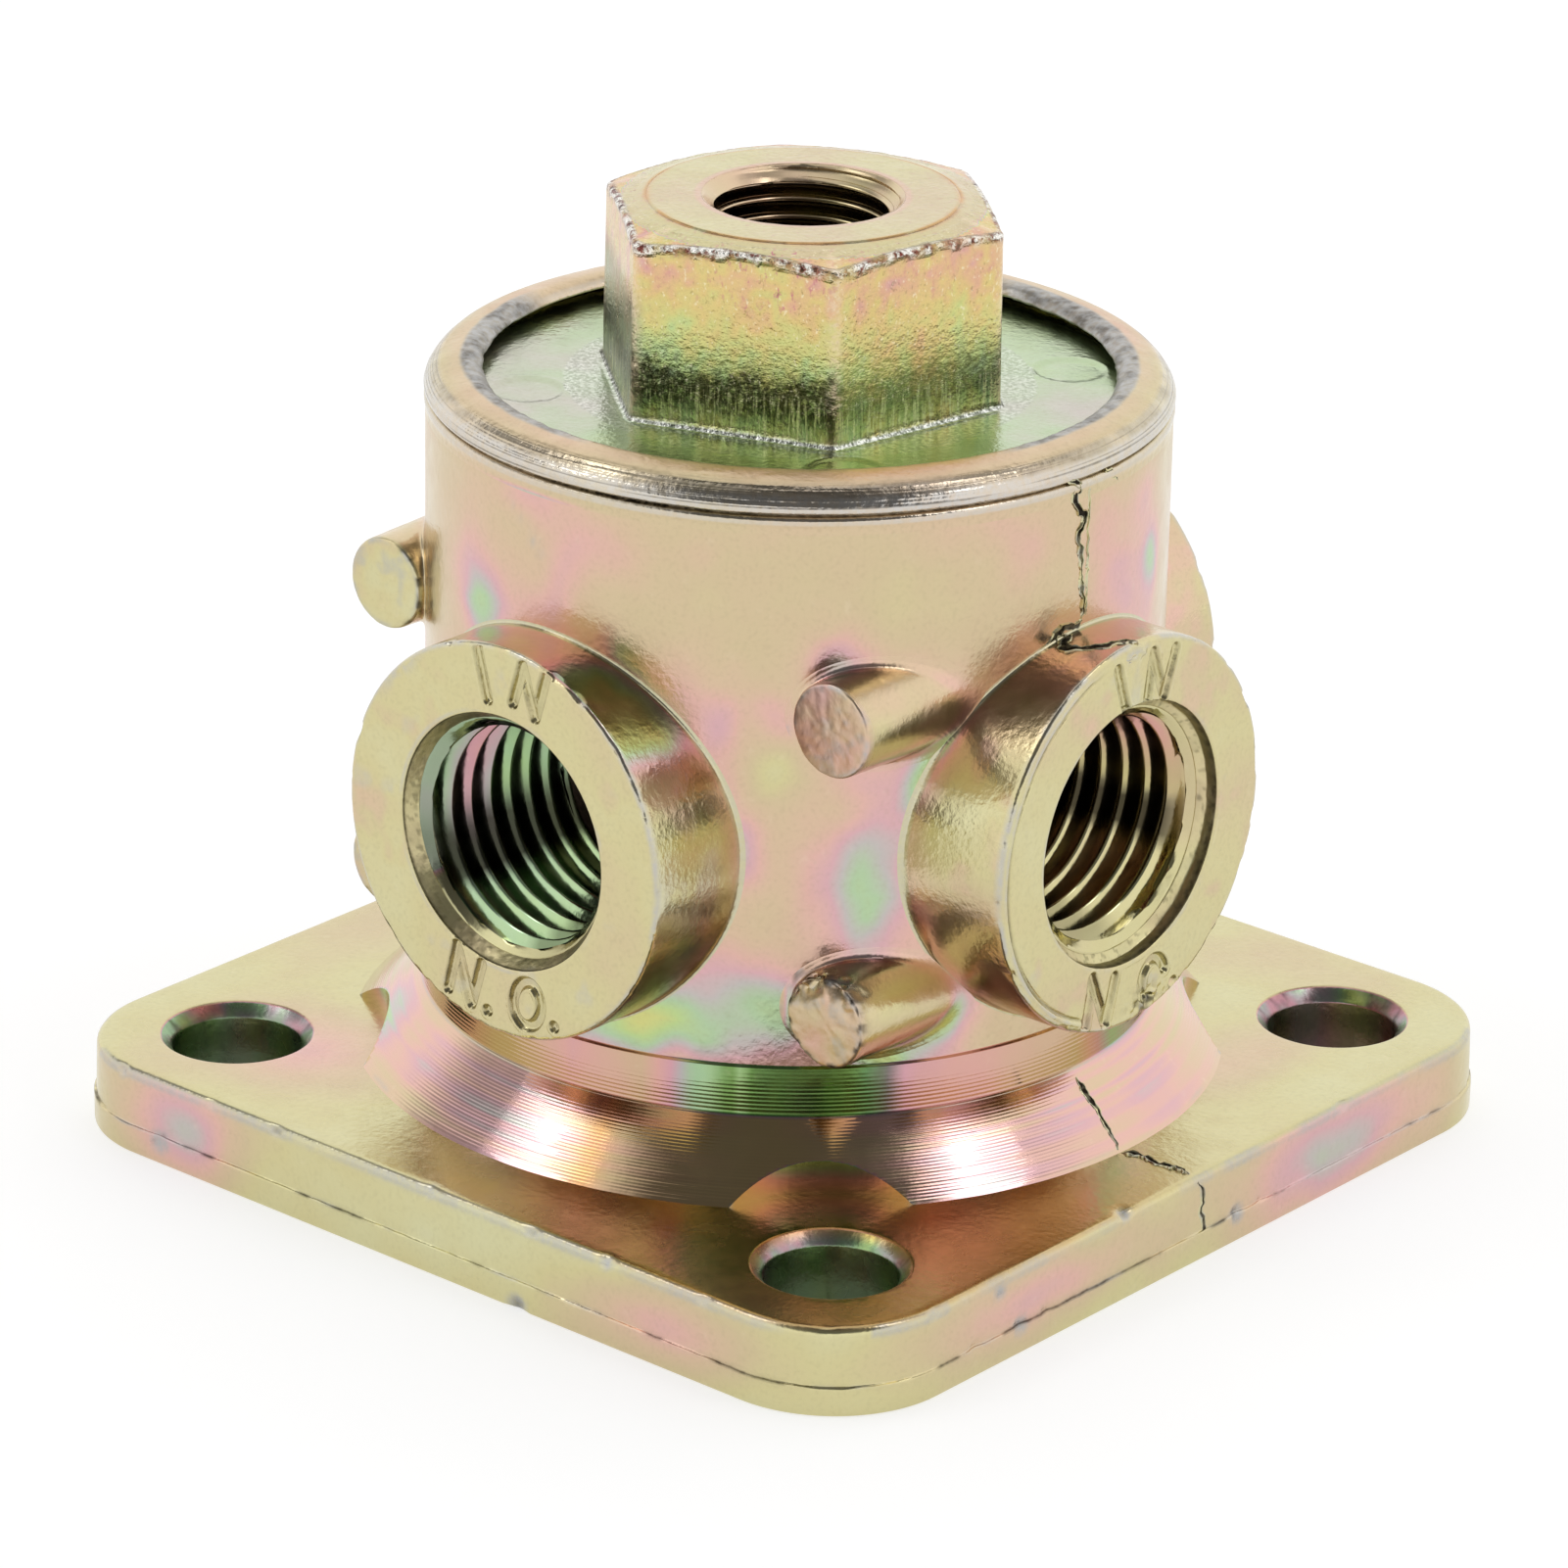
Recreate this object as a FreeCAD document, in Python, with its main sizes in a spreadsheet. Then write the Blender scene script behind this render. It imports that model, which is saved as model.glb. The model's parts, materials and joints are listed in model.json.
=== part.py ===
import FreeCAD, Part
import math
import os
import Sketcher

# Three-way air valve, air-piloted, die-cast body.  Millimetres, +Z up.
# Origin: bottom centre of the square mounting flange (the mounting face is z = 0).
# The normally-open port points along -Y, the normally-closed port along +X and
# the outlet along +Y.  The pilot port is in the hexagon on top, along +Z.

os.makedirs("parts", exist_ok=True)

doc = FreeCAD.newDocument("three_way_air_valve")
V = FreeCAD.Vector

# --------------------------------------------------------------------------
# driving dimensions
# --------------------------------------------------------------------------
SIZES = [
    # flange
    ("flange_half", 27.78), ("flange_lower_half", 27.90), ("flange_corner", 6.75), ("flange_thick", 4.70),
    ("parting_height", 1.60), ("flange_edge_round", 0.40), ("flange_draft", 1.5),
    ("bolt_half_spacing", 20.55), ("bolt_hole_rad", 3.40), ("bolt_hole_chamfer", 0.65), ("head_clear_rad", 8.00),
    # outer shape of the barrel
    ("cone_foot_rad", 23.00), ("cone_top_rad", 19.36), ("cone_top_height", 8.10), ("turned_band_top", 10.50),
    ("barrel_rad", 19.15), ("crease_height", 40.25), ("crease_rad", 19.00), ("bead_rad", 19.30), ("bead_height", 39.75),
    ("roll_low_rad", 19.22), ("roll_shoulder_rad", 18.85), ("roll_shoulder_height", 40.95),
    ("crest_rad", 17.40), ("crest_height", 41.95), ("lip_rad", 16.20), ("lip_height", 41.50),
    # side ports
    ("port_height", 21.90), ("port_face", 22.45), ("boss_rad", 10.42), ("port_bore_rad", 6.70), ("port_depth", 11.00),
    ("boss_fillet", 0.50), ("boss_edge", 0.22),
    # cast studs beside the front port
    ("stud_side", 15.05), ("stud_end", 14.95), ("stud_rad", 2.43), ("stud_draft", 1.8), ("stud_upper", 29.80), ("stud_lower", 14.20), ("stud_fillet", 0.45),
    # cavity
    ("floor_height", 3.20), ("spring_well_rad", 7.00), ("ledge_height", 11.50), ("stack_bore_rad", 9.00),
    ("clip_groove_rad", 9.70), ("clip_height", 29.20), ("clip_thick", 0.80),
    ("chamber_floor", 30.40), ("chamber_rad", 15.60), ("cap_seat_height", 37.74), ("cap_pocket_rad", 17.60),
    ("disc_top", 40.74), ("breather_rad", 0.60), ("breather_height", 31.20),
    # pilot cap
    ("cap_rad", 17.55), ("hex_flat_half", 9.50), ("hex_top", 50.65), ("hex_draft", 1.45), ("hex_turn", 19.5), ("hex_face_rad", 8.00), ("hex_crown_drop", 0.74),
    ("pilot_bore_rad", 5.00), ("pilot_depth", 8.50), ("pilot_duct_rad", 2.00), ("cap_recess_rad", 6.50), ("cap_recess_top", 39.40),
    ("mark_rad", 1.86), ("mark_circle", 14.05), ("mark_depth", 0.12), ("hex_splay", 0.30),
    # piston and stem
    ("piston_rad", 15.55), ("piston_top", 37.30), ("piston_skirt_low", 33.00), ("piston_skirt_in", 12.60), ("piston_web_low", 34.80), ("piston_web_top", 36.30), ("piston_hub_rad", 8.00),
    ("seal_groove_low", 34.60), ("seal_groove_high", 36.40), ("seal_groove_rad", 13.86),
    ("stem_rad", 2.50), ("stem_land_rad", 2.00), ("stem_top", 39.10), ("stem_shoulder", 34.80), ("stem_low_rad", 1.80), ("poppet_high", 21.25),
    ("stem_tail_rad", 1.30), ("tail_shoulder", 10.90), ("stem_low_end", 8.70), ("land_gap", 0.02),
    ("washer_rad", 4.50), ("washer_thick", 0.50), ("nut_flat_half", 3.50), ("nut_thick", 2.00),
    # poppet
    ("poppet_low", 16.75), ("poppet_rad", 6.60), ("poppet_hub_rad", 3.20), ("poppet_seal_thick", 1.20), ("poppet_nut_flat_half", 2.75), ("poppet_nut_thick", 1.40),
    # seats
    ("insert_rad", 8.96), ("seat_bore_rad", 4.20), ("lip_in", 4.60), ("lip_out", 5.30), ("seat_thick", 2.20), ("lip_rise", 0.70), ("seat_groove_rad", 7.84), ("seat_groove_half", 0.60),
    ("upper_seat_low", 22.10), ("cage_in", 7.70), ("cage_window_low", 15.60), ("cage_window_high", 20.80), ("cage_window_wide", 5.60), ("spacer_window_wide", 6.00),
    ("seat_oring_minor", 0.56),
    # guide bushing
    ("bush_low", 26.80), ("bush_flange_top", 29.18), ("bush_boss_rad", 6.50), ("bush_boss_top", 31.80), ("bush_bore_rad", 2.55), ("stem_seal_groove", 4.06), ("stem_seal_low", 28.90), ("stem_seal_high", 30.46), ("stem_seal_minor", 0.75),
    # spring and its retainer
    ("retainer_rad", 5.00), ("retainer_low", 9.90), ("spring_mid_rad", 4.00), ("spring_wire_rad", 0.45), ("spring_turns", 4.5),
    ("tail_clip_low", 9.28), ("tail_clip_thick", 0.60), ("tail_groove_rad", 1.00), ("tail_clip_out", 2.30),
    # passages
    ("outlet_slot_low", 16.00), ("outlet_slot_high", 21.00), ("slot_half", 4.00), ("closed_slot_low", 24.60), ("closed_slot_high", 26.60),
    ("open_slot_half", 3.00), ("open_slot_low", 6.50), ("open_slot_turn", 10.50), ("open_slot_high", 16.50), ("open_slot_out", 14.50), ("open_slot_in", 10.20),
    # seal at the cap
    ("cap_seal_mid", 16.70), ("cap_seal_minor", 0.56), ("cap_groove_low", 36.60), ("cap_groove_in", 16.05), ("cap_groove_out", 17.35),
]

sheet = doc.addObject("Spreadsheet::Sheet", "Dims")
sheet.Label = "Dims"
for row, (name, value) in enumerate(SIZES, start=1):
    sheet.set("A%d" % row, name)
    sheet.set("B%d" % row, "%g" % value)
    sheet.setAlias("B%d" % row, name)
doc.recompute()


class Size:
    """A number from the sheet, kept together with the expression that gives it."""

    def __init__(self, value, text):
        self.value = float(value)
        self.text = text

    def _both(self, other, sign, back=False):
        o = other if isinstance(other, Size) else Size(other, "%g" % other)
        a, b = (o, self) if back else (self, o)
        if sign == "+":
            value = a.value + b.value
        elif sign == "-":
            value = a.value - b.value
        elif sign == "*":
            value = a.value * b.value
        else:
            value = a.value / b.value
        return Size(value, "(%s %s %s)" % (a.text, sign, b.text))

    def __add__(self, o): return self._both(o, "+")
    def __radd__(self, o): return self._both(o, "+", True)
    def __sub__(self, o): return self._both(o, "-")
    def __rsub__(self, o): return self._both(o, "-", True)
    def __mul__(self, o): return self._both(o, "*")
    def __rmul__(self, o): return self._both(o, "*", True)
    def __truediv__(self, o): return self._both(o, "/")
    def __neg__(self): return Size(-self.value, "(0 - %s)" % self.text)


class Table:
    pass


D = Table()
for name, value in SIZES:
    setattr(D, name, Size(value, "Dims." + name))


def size(x):
    return x if isinstance(x, Size) else Size(x, "%g" % x)


# --------------------------------------------------------------------------
# helpers
# --------------------------------------------------------------------------
made = []


def new_body(label):
    b = doc.addObject("PartDesign::Body", label)
    b.Label = label
    made.append(b)
    return b


def plane(body, role):
    for f in body.Origin.OriginFeatures:
        if f.Role == role:
            return f
    raise RuntimeError("no " + role)


def new_sketch(body, name, role, offset=None, turn=0.0):
    sk = body.newObject("Sketcher::SketchObject", name)
    sk.AttachmentSupport = [(plane(body, role), "")]
    sk.MapMode = "FlatFace"
    if offset is not None:
        off = size(offset)
        sk.AttachmentOffset = FreeCAD.Placement(V(0, 0, off.value), FreeCAD.Rotation(V(0, 0, 1), turn))
        sk.setExpression("AttachmentOffset.Base.z", off.text)
    elif turn:
        sk.AttachmentOffset = FreeCAD.Placement(V(0, 0, 0), FreeCAD.Rotation(V(0, 0, 1), turn))
    return sk


def fix(sk, kind, args, value):
    s = size(value)
    index = sk.addConstraint(Sketcher.Constraint(kind, *args, s.value))
    sk.setExpression("Constraints[%d]" % index, s.text)
    return index


def polygon(sk, points):
    """Closed outline through points whose coordinates come from the sheet."""
    pts = [(size(x), size(y)) for x, y in points]
    first = sk.GeometryCount
    n = len(pts)
    for i in range(n):
        a, b = pts[i], pts[(i + 1) % n]
        sk.addGeometry(Part.LineSegment(V(a[0].value, a[1].value, 0), V(b[0].value, b[1].value, 0)), False)
    for i in range(n):
        sk.addConstraint(Sketcher.Constraint("Coincident", first + i, 2, first + (i + 1) % n, 1))
    for i, (x, y) in enumerate(pts):
        for kind, q in (("DistanceX", x), ("DistanceY", y)):
            fix(sk, kind, (-1, 1, first + i, 1), q)


def rounded_square(sk, half, radius):
    """A square with round corners, centred on the sketch's origin."""
    half, radius = size(half), size(radius)
    c_ = half - radius
    h_, r_, k_ = half.value, radius.value, c_.value
    g0 = sk.GeometryCount
    quarter = math.pi / 2
    corners = [(1, 1), (-1, 1), (-1, -1), (1, -1)]
    for i, (sx, sy) in enumerate(corners):
        arc = Part.Circle(V(sx * k_, sy * k_, 0), V(0, 0, 1), r_)
        sk.addGeometry(Part.ArcOfCircle(arc, i * quarter, (i + 1) * quarter), False)
    ends = [((k_, h_), (-k_, h_)), ((-h_, k_), (-h_, -k_)), ((-k_, -h_), (k_, -h_)), ((h_, -k_), (h_, k_))]
    for a, b in ends:
        sk.addGeometry(Part.LineSegment(V(a[0], a[1], 0), V(b[0], b[1], 0)), False)
    for i in range(4):
        sk.addConstraint(Sketcher.Constraint("Tangent", g0 + i, 2, g0 + 4 + i, 1))
        sk.addConstraint(Sketcher.Constraint("Tangent", g0 + 4 + i, 2, g0 + (i + 1) % 4, 1))
    for i, (sx, sy) in enumerate(corners):
        fix(sk, "DistanceX", (-1, 1, g0 + i, 3), c_ * sx)
        fix(sk, "DistanceY", (-1, 1, g0 + i, 3), c_ * sy)
        fix(sk, "Radius", (g0 + i,), radius)


def ring(sk, x, y, radius):
    """A circle placed and sized from the sheet."""
    x, y, radius = size(x), size(y), size(radius)
    g = sk.addGeometry(Part.Circle(V(x.value, y.value, 0), V(0, 0, 1), radius.value), False)
    fix(sk, "DistanceX", (-1, 1, g, 3), x)
    fix(sk, "DistanceY", (-1, 1, g, 3), y)
    fix(sk, "Radius", (g,), radius)
    return g


def revolve(body, name, points, cut=False):
    """Turns an outline given as (radius, height) about Z, as material or as a cut."""
    sk = new_sketch(body, name + "_sketch", "XZ_Plane")
    polygon(sk, points)
    kind = "PartDesign::Groove" if cut else "PartDesign::Revolution"
    f = body.newObject(kind, name)
    f.Profile = sk
    f.ReferenceAxis = (sk, ["V_Axis"])
    f.Angle = 360.0
    sk.Visibility = False
    return f


def extrude(body, name, sk, length, reverse=False, both=False, cut=False, draft=None, through=False):
    f = body.newObject("PartDesign::Pocket" if cut else "PartDesign::Pad", name)
    f.Profile = sk
    s = size(length)
    if through:
        f.Type = "ThroughAll"
    else:
        f.Length = s.value
        f.setExpression("Length", s.text)
    f.Reversed = reverse
    if both:
        f.SideType = "Symmetric"
    if draft is not None:
        d = size(draft)
        f.TaperAngle = d.value
        f.setExpression("TaperAngle", d.text)
    sk.Visibility = False
    return f


def grew(body, before, name, more=True):
    """Recomputes and compares volumes, so a feature that points the wrong way is caught."""
    doc.recompute()
    after = body.Shape.Volume
    print("%-26s %12.3f -> %12.3f" % (name, before, after))
    if (after > before + 1e-6) != more or abs(after - before) < 1e-6:
        raise RuntimeError("feature %s did nothing or went the wrong way" % name)
    return after


def pick_edges(shape, test):
    return ["Edge%d" % (i + 1) for i, e in enumerate(shape.Edges) if test(e)]


def dress(body, kind, name, edges, amount):
    base = body.Tip
    f = body.newObject("PartDesign::" + kind, name)
    f.Base = (base, edges)
    s = size(amount)
    key = "Radius" if kind == "Fillet" else "Size"
    setattr(f, key, s.value)
    f.setExpression(key, s.text)
    return f


def torus(label, major, minor, height):
    t = doc.addObject("Part::Torus", label)
    t.Label = label
    t.Radius1, t.Radius2 = size(major).value, size(minor).value
    t.setExpression("Radius1", size(major).text)
    t.setExpression("Radius2", size(minor).text)
    t.Placement = FreeCAD.Placement(V(0, 0, size(height).value), FreeCAD.Rotation())
    t.setExpression("Placement.Base.z", size(height).text)
    made.append(t)
    return t


# --------------------------------------------------------------------------
# valve_body: one die casting, flange, cone, barrel, three port bosses, four cast studs
# --------------------------------------------------------------------------
vb = new_body("valve_body")

sk = new_sketch(vb, "flange_lower_sketch", "XY_Plane")
rounded_square(sk, D.flange_lower_half, D.flange_corner)
extrude(vb, "flange_lower", sk, D.parting_height)
vol = grew(vb, 0.0, "flange_lower")

sk = new_sketch(vb, "flange_upper_sketch", "XY_Plane", offset=D.parting_height)
rounded_square(sk, D.flange_half, D.flange_corner)
extrude(vb, "flange_upper", sk, D.flange_thick - D.parting_height, draft=-D.flange_draft)
vol = grew(vb, vol, "flange_upper")
edges = pick_edges(vb.Shape, lambda e: all(abs(v.Z - D.flange_thick.value) < 1e-3 for v in e.Vertexes))
dress(vb, "Fillet", "flange_top_round", edges, D.flange_edge_round)
vol = grew(vb, vol, "flange_top_round", more=False)
edges = pick_edges(vb.Shape, lambda e: all(abs(v.Z) < 1e-3 for v in e.Vertexes))
dress(vb, "Fillet", "flange_bottom_round", edges, D.flange_edge_round)
vol = grew(vb, vol, "flange_bottom_round", more=False)

revolve(vb, "barrel", [
    (0, 1.0), (D.cone_foot_rad - 0.5, 1.0), (D.cone_foot_rad - 0.5, 3.0), (D.cone_foot_rad, 3.5), (D.cone_foot_rad, D.flange_thick),
    (D.cone_top_rad, D.cone_top_height), (D.barrel_rad + 0.14, D.turned_band_top - 0.1), (D.barrel_rad, D.turned_band_top),
    (D.barrel_rad, D.bead_height - 0.15), (D.bead_rad, D.bead_height + 0.02), (D.bead_rad, D.crease_height - 0.10),
    (D.crease_rad, D.crease_height - 0.02), (D.crease_rad, D.crease_height + 0.04), (D.roll_low_rad, D.crease_height + 0.12),
    (D.roll_low_rad - 0.04, D.crease_height + 0.34), (D.roll_shoulder_rad, D.roll_shoulder_height), (D.roll_shoulder_rad - 0.38, D.roll_shoulder_height + 0.42),
    (D.crest_rad + 0.45, D.crest_height - 0.14), (D.crest_rad, D.crest_height), (D.crest_rad - 0.45, D.crest_height - 0.04), (D.lip_rad, D.lip_height),
    (D.lip_rad, D.disc_top - 0.5), (0, D.disc_top - 0.5)])
vol = grew(vb, vol, "barrel")

sk = new_sketch(vb, "boss_y_sketch", "XZ_Plane")
ring(sk, 0, D.port_height, D.boss_rad)
extrude(vb, "boss_front_and_back", sk, D.port_face * 2, both=True)
vol = grew(vb, vol, "boss_front_and_back")

sk = new_sketch(vb, "boss_x_sketch", "YZ_Plane")
ring(sk, 0, D.port_height, D.boss_rad)
extrude(vb, "boss_right", sk, D.port_face)
vol = grew(vb, vol, "boss_right")
if vb.Shape.BoundBox.XMax < 22.0:
    raise RuntimeError("boss_right points the wrong way")

# fillet where the bosses leave the barrel
R = D.barrel_rad.value


def boss_root(e):
    pts = [e.valueAt(e.FirstParameter + (e.LastParameter - e.FirstParameter) * k / 6.0) for k in range(7)]
    zc = D.port_height.value
    on_barrel = all(abs(math.hypot(p.x, p.y) - R) < 0.02 for p in pts)
    on_y = all(abs(math.hypot(p.x, p.z - zc) - D.boss_rad.value) < 0.02 for p in pts)
    on_x = all(abs(math.hypot(p.y, p.z - zc) - D.boss_rad.value) < 0.02 for p in pts)
    return on_barrel and (on_y or on_x)


edges = pick_edges(vb.Shape, boss_root)
print("boss root edges", edges)
dress(vb, "Fillet", "boss_root_fillets", edges, D.boss_fillet)
vol = grew(vb, vol, "boss_root_fillets")

sk = new_sketch(vb, "stud_sketch", "XZ_Plane", offset=D.stud_end)
for sx in (-1, 1):
    for z in (D.stud_upper, D.stud_lower):
        ring(sk, D.stud_side * sx, z, D.stud_rad)
extrude(vb, "studs", sk, D.stud_end - 6.0, reverse=True, draft=D.stud_draft)
doc.recompute()
if vb.Shape.isNull() or not vb.Shape.isValid():
    raise RuntimeError("studs failed")
vol = grew(vb, vol, "studs")

edges = pick_edges(vb.Shape, lambda e: e.Length > 4.0 and all(
    abs(math.hypot(p.x, p.y) - R) < 0.02 and 12.2 < abs(p.x) < 18.6 and p.y < 0 and
    min(abs(p.z - D.stud_upper.value), abs(p.z - D.stud_lower.value)) < 3.2
    for p in [e.valueAt(e.FirstParameter + (e.LastParameter - e.FirstParameter) * k / 6.0) for k in range(7)]))
print("stud root edges", edges)
dress(vb, "Fillet", "stud_root_fillets", edges, D.stud_fillet)
vol = grew(vb, vol, "stud_root_fillets")

# bolt-head clearance, a round bite out of the cone beside each hole
b = D.bolt_half_spacing
sk = new_sketch(vb, "head_clear_sketch", "XY_Plane", offset=D.flange_thick)
for sx in (-1, 1):
    for sy in (-1, 1):
        ring(sk, b * sx, b * sy, D.head_clear_rad)
extrude(vb, "head_clearance", sk, 4.0, reverse=True, cut=True)
vol = grew(vb, vol, "head_clearance", more=False)

sk = new_sketch(vb, "bolt_hole_sketch", "XY_Plane")
for sx in (-1, 1):
    for sy in (-1, 1):
        ring(sk, b * sx, b * sy, D.bolt_hole_rad)
extrude(vb, "bolt_holes", sk, 10.0, reverse=True, cut=True)
vol = grew(vb, vol, "bolt_holes", more=False)

edges = pick_edges(vb.Shape, lambda e: len(e.Vertexes) == 1 and abs(e.Vertexes[0].Z - D.flange_thick.value) < 1e-3
                   and hasattr(e.Curve, "Radius") and abs(e.Curve.Radius - D.bolt_hole_rad.value) < 1e-3)
print("hole edges", edges)
dress(vb, "Chamfer", "bolt_hole_chamfers", edges, D.bolt_hole_chamfer)
vol = grew(vb, vol, "bolt_hole_chamfers", more=False)

# port bores
sk = new_sketch(vb, "bore_front_sketch", "XZ_Plane", offset=D.port_face)
ring(sk, 0, D.port_height, D.port_bore_rad)
extrude(vb, "bore_front", sk, D.port_depth, cut=True)
vol = grew(vb, vol, "bore_front", more=False)
sk = new_sketch(vb, "bore_back_sketch", "XZ_Plane", offset=-D.port_face)
ring(sk, 0, D.port_height, D.port_bore_rad)
extrude(vb, "bore_back", sk, D.port_depth, reverse=True, cut=True)
vol = grew(vb, vol, "bore_back", more=False)
sk = new_sketch(vb, "bore_right_sketch", "YZ_Plane", offset=D.port_face)
ring(sk, 0, D.port_height, D.port_bore_rad)
extrude(vb, "bore_right", sk, D.port_depth, cut=True)
vol = grew(vb, vol, "bore_right", more=False)

# the stepped cavity, closed below, open to the cap seat above
revolve(vb, "cavity", [
    (0, D.floor_height), (D.spring_well_rad, D.floor_height), (D.spring_well_rad, D.ledge_height), (D.stack_bore_rad, D.ledge_height),
    (D.stack_bore_rad, D.clip_height), (D.clip_groove_rad, D.clip_height), (D.clip_groove_rad, D.clip_height + D.clip_thick + 0.05),
    (D.stack_bore_rad, D.clip_height + D.clip_thick + 0.05), (D.stack_bore_rad, D.chamber_floor), (D.chamber_rad, D.chamber_floor),
    (D.chamber_rad, D.cap_seat_height), (D.cap_groove_in, D.cap_seat_height), (D.cap_groove_in, D.cap_groove_low), (D.cap_groove_out, D.cap_groove_low),
    (D.cap_groove_out, D.cap_seat_height), (D.cap_pocket_rad, D.cap_seat_height), (D.cap_pocket_rad, D.disc_top), (D.lip_rad, D.disc_top),
    (D.lip_rad, D.disc_top + 3.0), (0, D.disc_top + 3.0)], cut=True)
vol = grew(vb, vol, "cavity", more=False)

# cast passages from the port bores to the three chambers
w = D.slot_half
sk = new_sketch(vb, "outlet_slot_sketch", "XZ_Plane", offset=-(D.port_face - D.port_depth + 0.6))
polygon(sk, [(-w, D.outlet_slot_low), (w, D.outlet_slot_low), (w, D.outlet_slot_high), (-w, D.outlet_slot_high)])
extrude(vb, "outlet_slot", sk, 4.5, reverse=True, cut=True)
vol = grew(vb, vol, "outlet_slot", more=False)
sk = new_sketch(vb, "closed_slot_sketch", "YZ_Plane", offset=D.port_face - D.port_depth + 0.6)
polygon(sk, [(-w, D.closed_slot_low), (w, D.closed_slot_low), (w, D.closed_slot_high), (-w, D.closed_slot_high)])
extrude(vb, "closed_slot", sk, 4.5, cut=True)
vol = grew(vb, vol, "closed_slot", more=False)
w = D.open_slot_half
sk = new_sketch(vb, "open_slot_sketch", "YZ_Plane", offset=w)
polygon(sk, [(-D.open_slot_out, D.open_slot_low), (-5.0, D.open_slot_low), (-5.0, D.open_slot_turn), (-D.open_slot_in, D.open_slot_turn),
             (-D.open_slot_in, D.open_slot_high), (-D.open_slot_out, D.open_slot_high)])
extrude(vb, "open_slot", sk, w * 2, cut=True)
vol = grew(vb, vol, "open_slot", more=False)

# breather of the space under the piston, on the side without a port
sk = new_sketch(vb, "breather_sketch", "YZ_Plane", offset=-(D.barrel_rad + 1.0))
ring(sk, 0, D.breather_height, D.breather_rad)
extrude(vb, "breather", sk, 5.5, reverse=True, cut=True)
vol = grew(vb, vol, "breather", more=False)

# broken outer edges of the boss faces
zc = D.port_height.value
F = D.port_face.value


def face_edge(radius):
    def test(e):
        if not hasattr(e.Curve, "Radius") or abs(e.Curve.Radius - radius) > 1e-3:
            return False
        c = e.Curve.Center
        return abs(c.z - zc) < 1e-3 and (abs(abs(c.y) - F) < 1e-3 and abs(c.x) < 1e-3 or abs(c.x - F) < 1e-3 and abs(c.y) < 1e-3)
    return test


edges = pick_edges(vb.Shape, face_edge(D.boss_rad.value))
print("boss edges", edges)
dress(vb, "Chamfer", "boss_edges", edges, D.boss_edge)
vol = grew(vb, vol, "boss_edges", more=False)

# --------------------------------------------------------------------------
# pilot_cap: round disc with a hexagon and a threaded pilot port, held by the rolled lip
# --------------------------------------------------------------------------
pc = new_body("pilot_cap")
revolve(pc, "disc", [(0, D.cap_seat_height), (D.cap_rad, D.cap_seat_height), (D.cap_rad, D.disc_top), (0, D.disc_top)])
vol = grew(pc, 0.0, "disc")
sk = new_sketch(pc, "hex_sketch", "XY_Plane", offset=D.disc_top - 0.5, turn=D.hex_turn.value)
sk.setExpression("AttachmentOffset.Rotation.Angle", D.hex_turn.text + " * 1 deg")
c, q = math.cos(math.pi / 6), math.tan(math.pi / 6)
hf = D.hex_flat_half
polygon(sk, [(hf * (1 / c), 0), (hf * (0.5 / c), hf), (-(hf * (0.5 / c)), hf), (-(hf * (1 / c)), 0), (-(hf * (0.5 / c)), -hf), (hf * (0.5 / c), -hf)])
extrude(pc, "hexagon", sk, D.hex_top - D.disc_top + 0.5, draft=-D.hex_draft)
vol = grew(pc, vol, "hexagon")
edges = pick_edges(pc.Shape, lambda e: len(e.Vertexes) == 2 and all(abs(v.Z - D.disc_top.value) < 1e-3 for v in e.Vertexes) and e.Length < 13)
print("hex base edges", edges)
dress(pc, "Chamfer", "hex_base_splay", edges, D.hex_splay)
vol = grew(pc, vol, "hex_base_splay")
revolve(pc, "crown", [(D.hex_face_rad, D.hex_top), (D.hex_face_rad + 4.0, D.hex_top - D.hex_crown_drop * 1.45), (D.hex_face_rad + 4.0, D.hex_top + 1.0), (D.hex_face_rad, D.hex_top + 1.0)], cut=True)
vol = grew(pc, vol, "crown", more=False)
revolve(pc, "pilot_bore", [
    (0, D.cap_seat_height - 1.0), (D.cap_recess_rad, D.cap_seat_height - 1.0), (D.cap_recess_rad, D.cap_recess_top), (D.pilot_duct_rad, D.cap_recess_top),
    (D.pilot_duct_rad, D.hex_top - D.pilot_depth), (D.pilot_bore_rad, D.hex_top - D.pilot_depth), (D.pilot_bore_rad, D.hex_top + 1.0), (0, D.hex_top + 1.0)], cut=True)
vol = grew(pc, vol, "pilot_bore", more=False)
sk = new_sketch(pc, "ejector_marks_sketch", "XY_Plane", offset=D.disc_top)
for a in (-129.7, 49.5, -40.1):
    ring(sk, D.mark_circle * math.cos(math.radians(a)), D.mark_circle * math.sin(math.radians(a)), D.mark_rad)
extrude(pc, "ejector_marks", sk, D.mark_depth, cut=True)
vol = grew(pc, vol, "ejector_marks", more=False)

torus("cap_o_ring", D.cap_seal_mid, D.cap_seal_minor, D.cap_groove_low + D.cap_seal_minor + 0.01)

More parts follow.
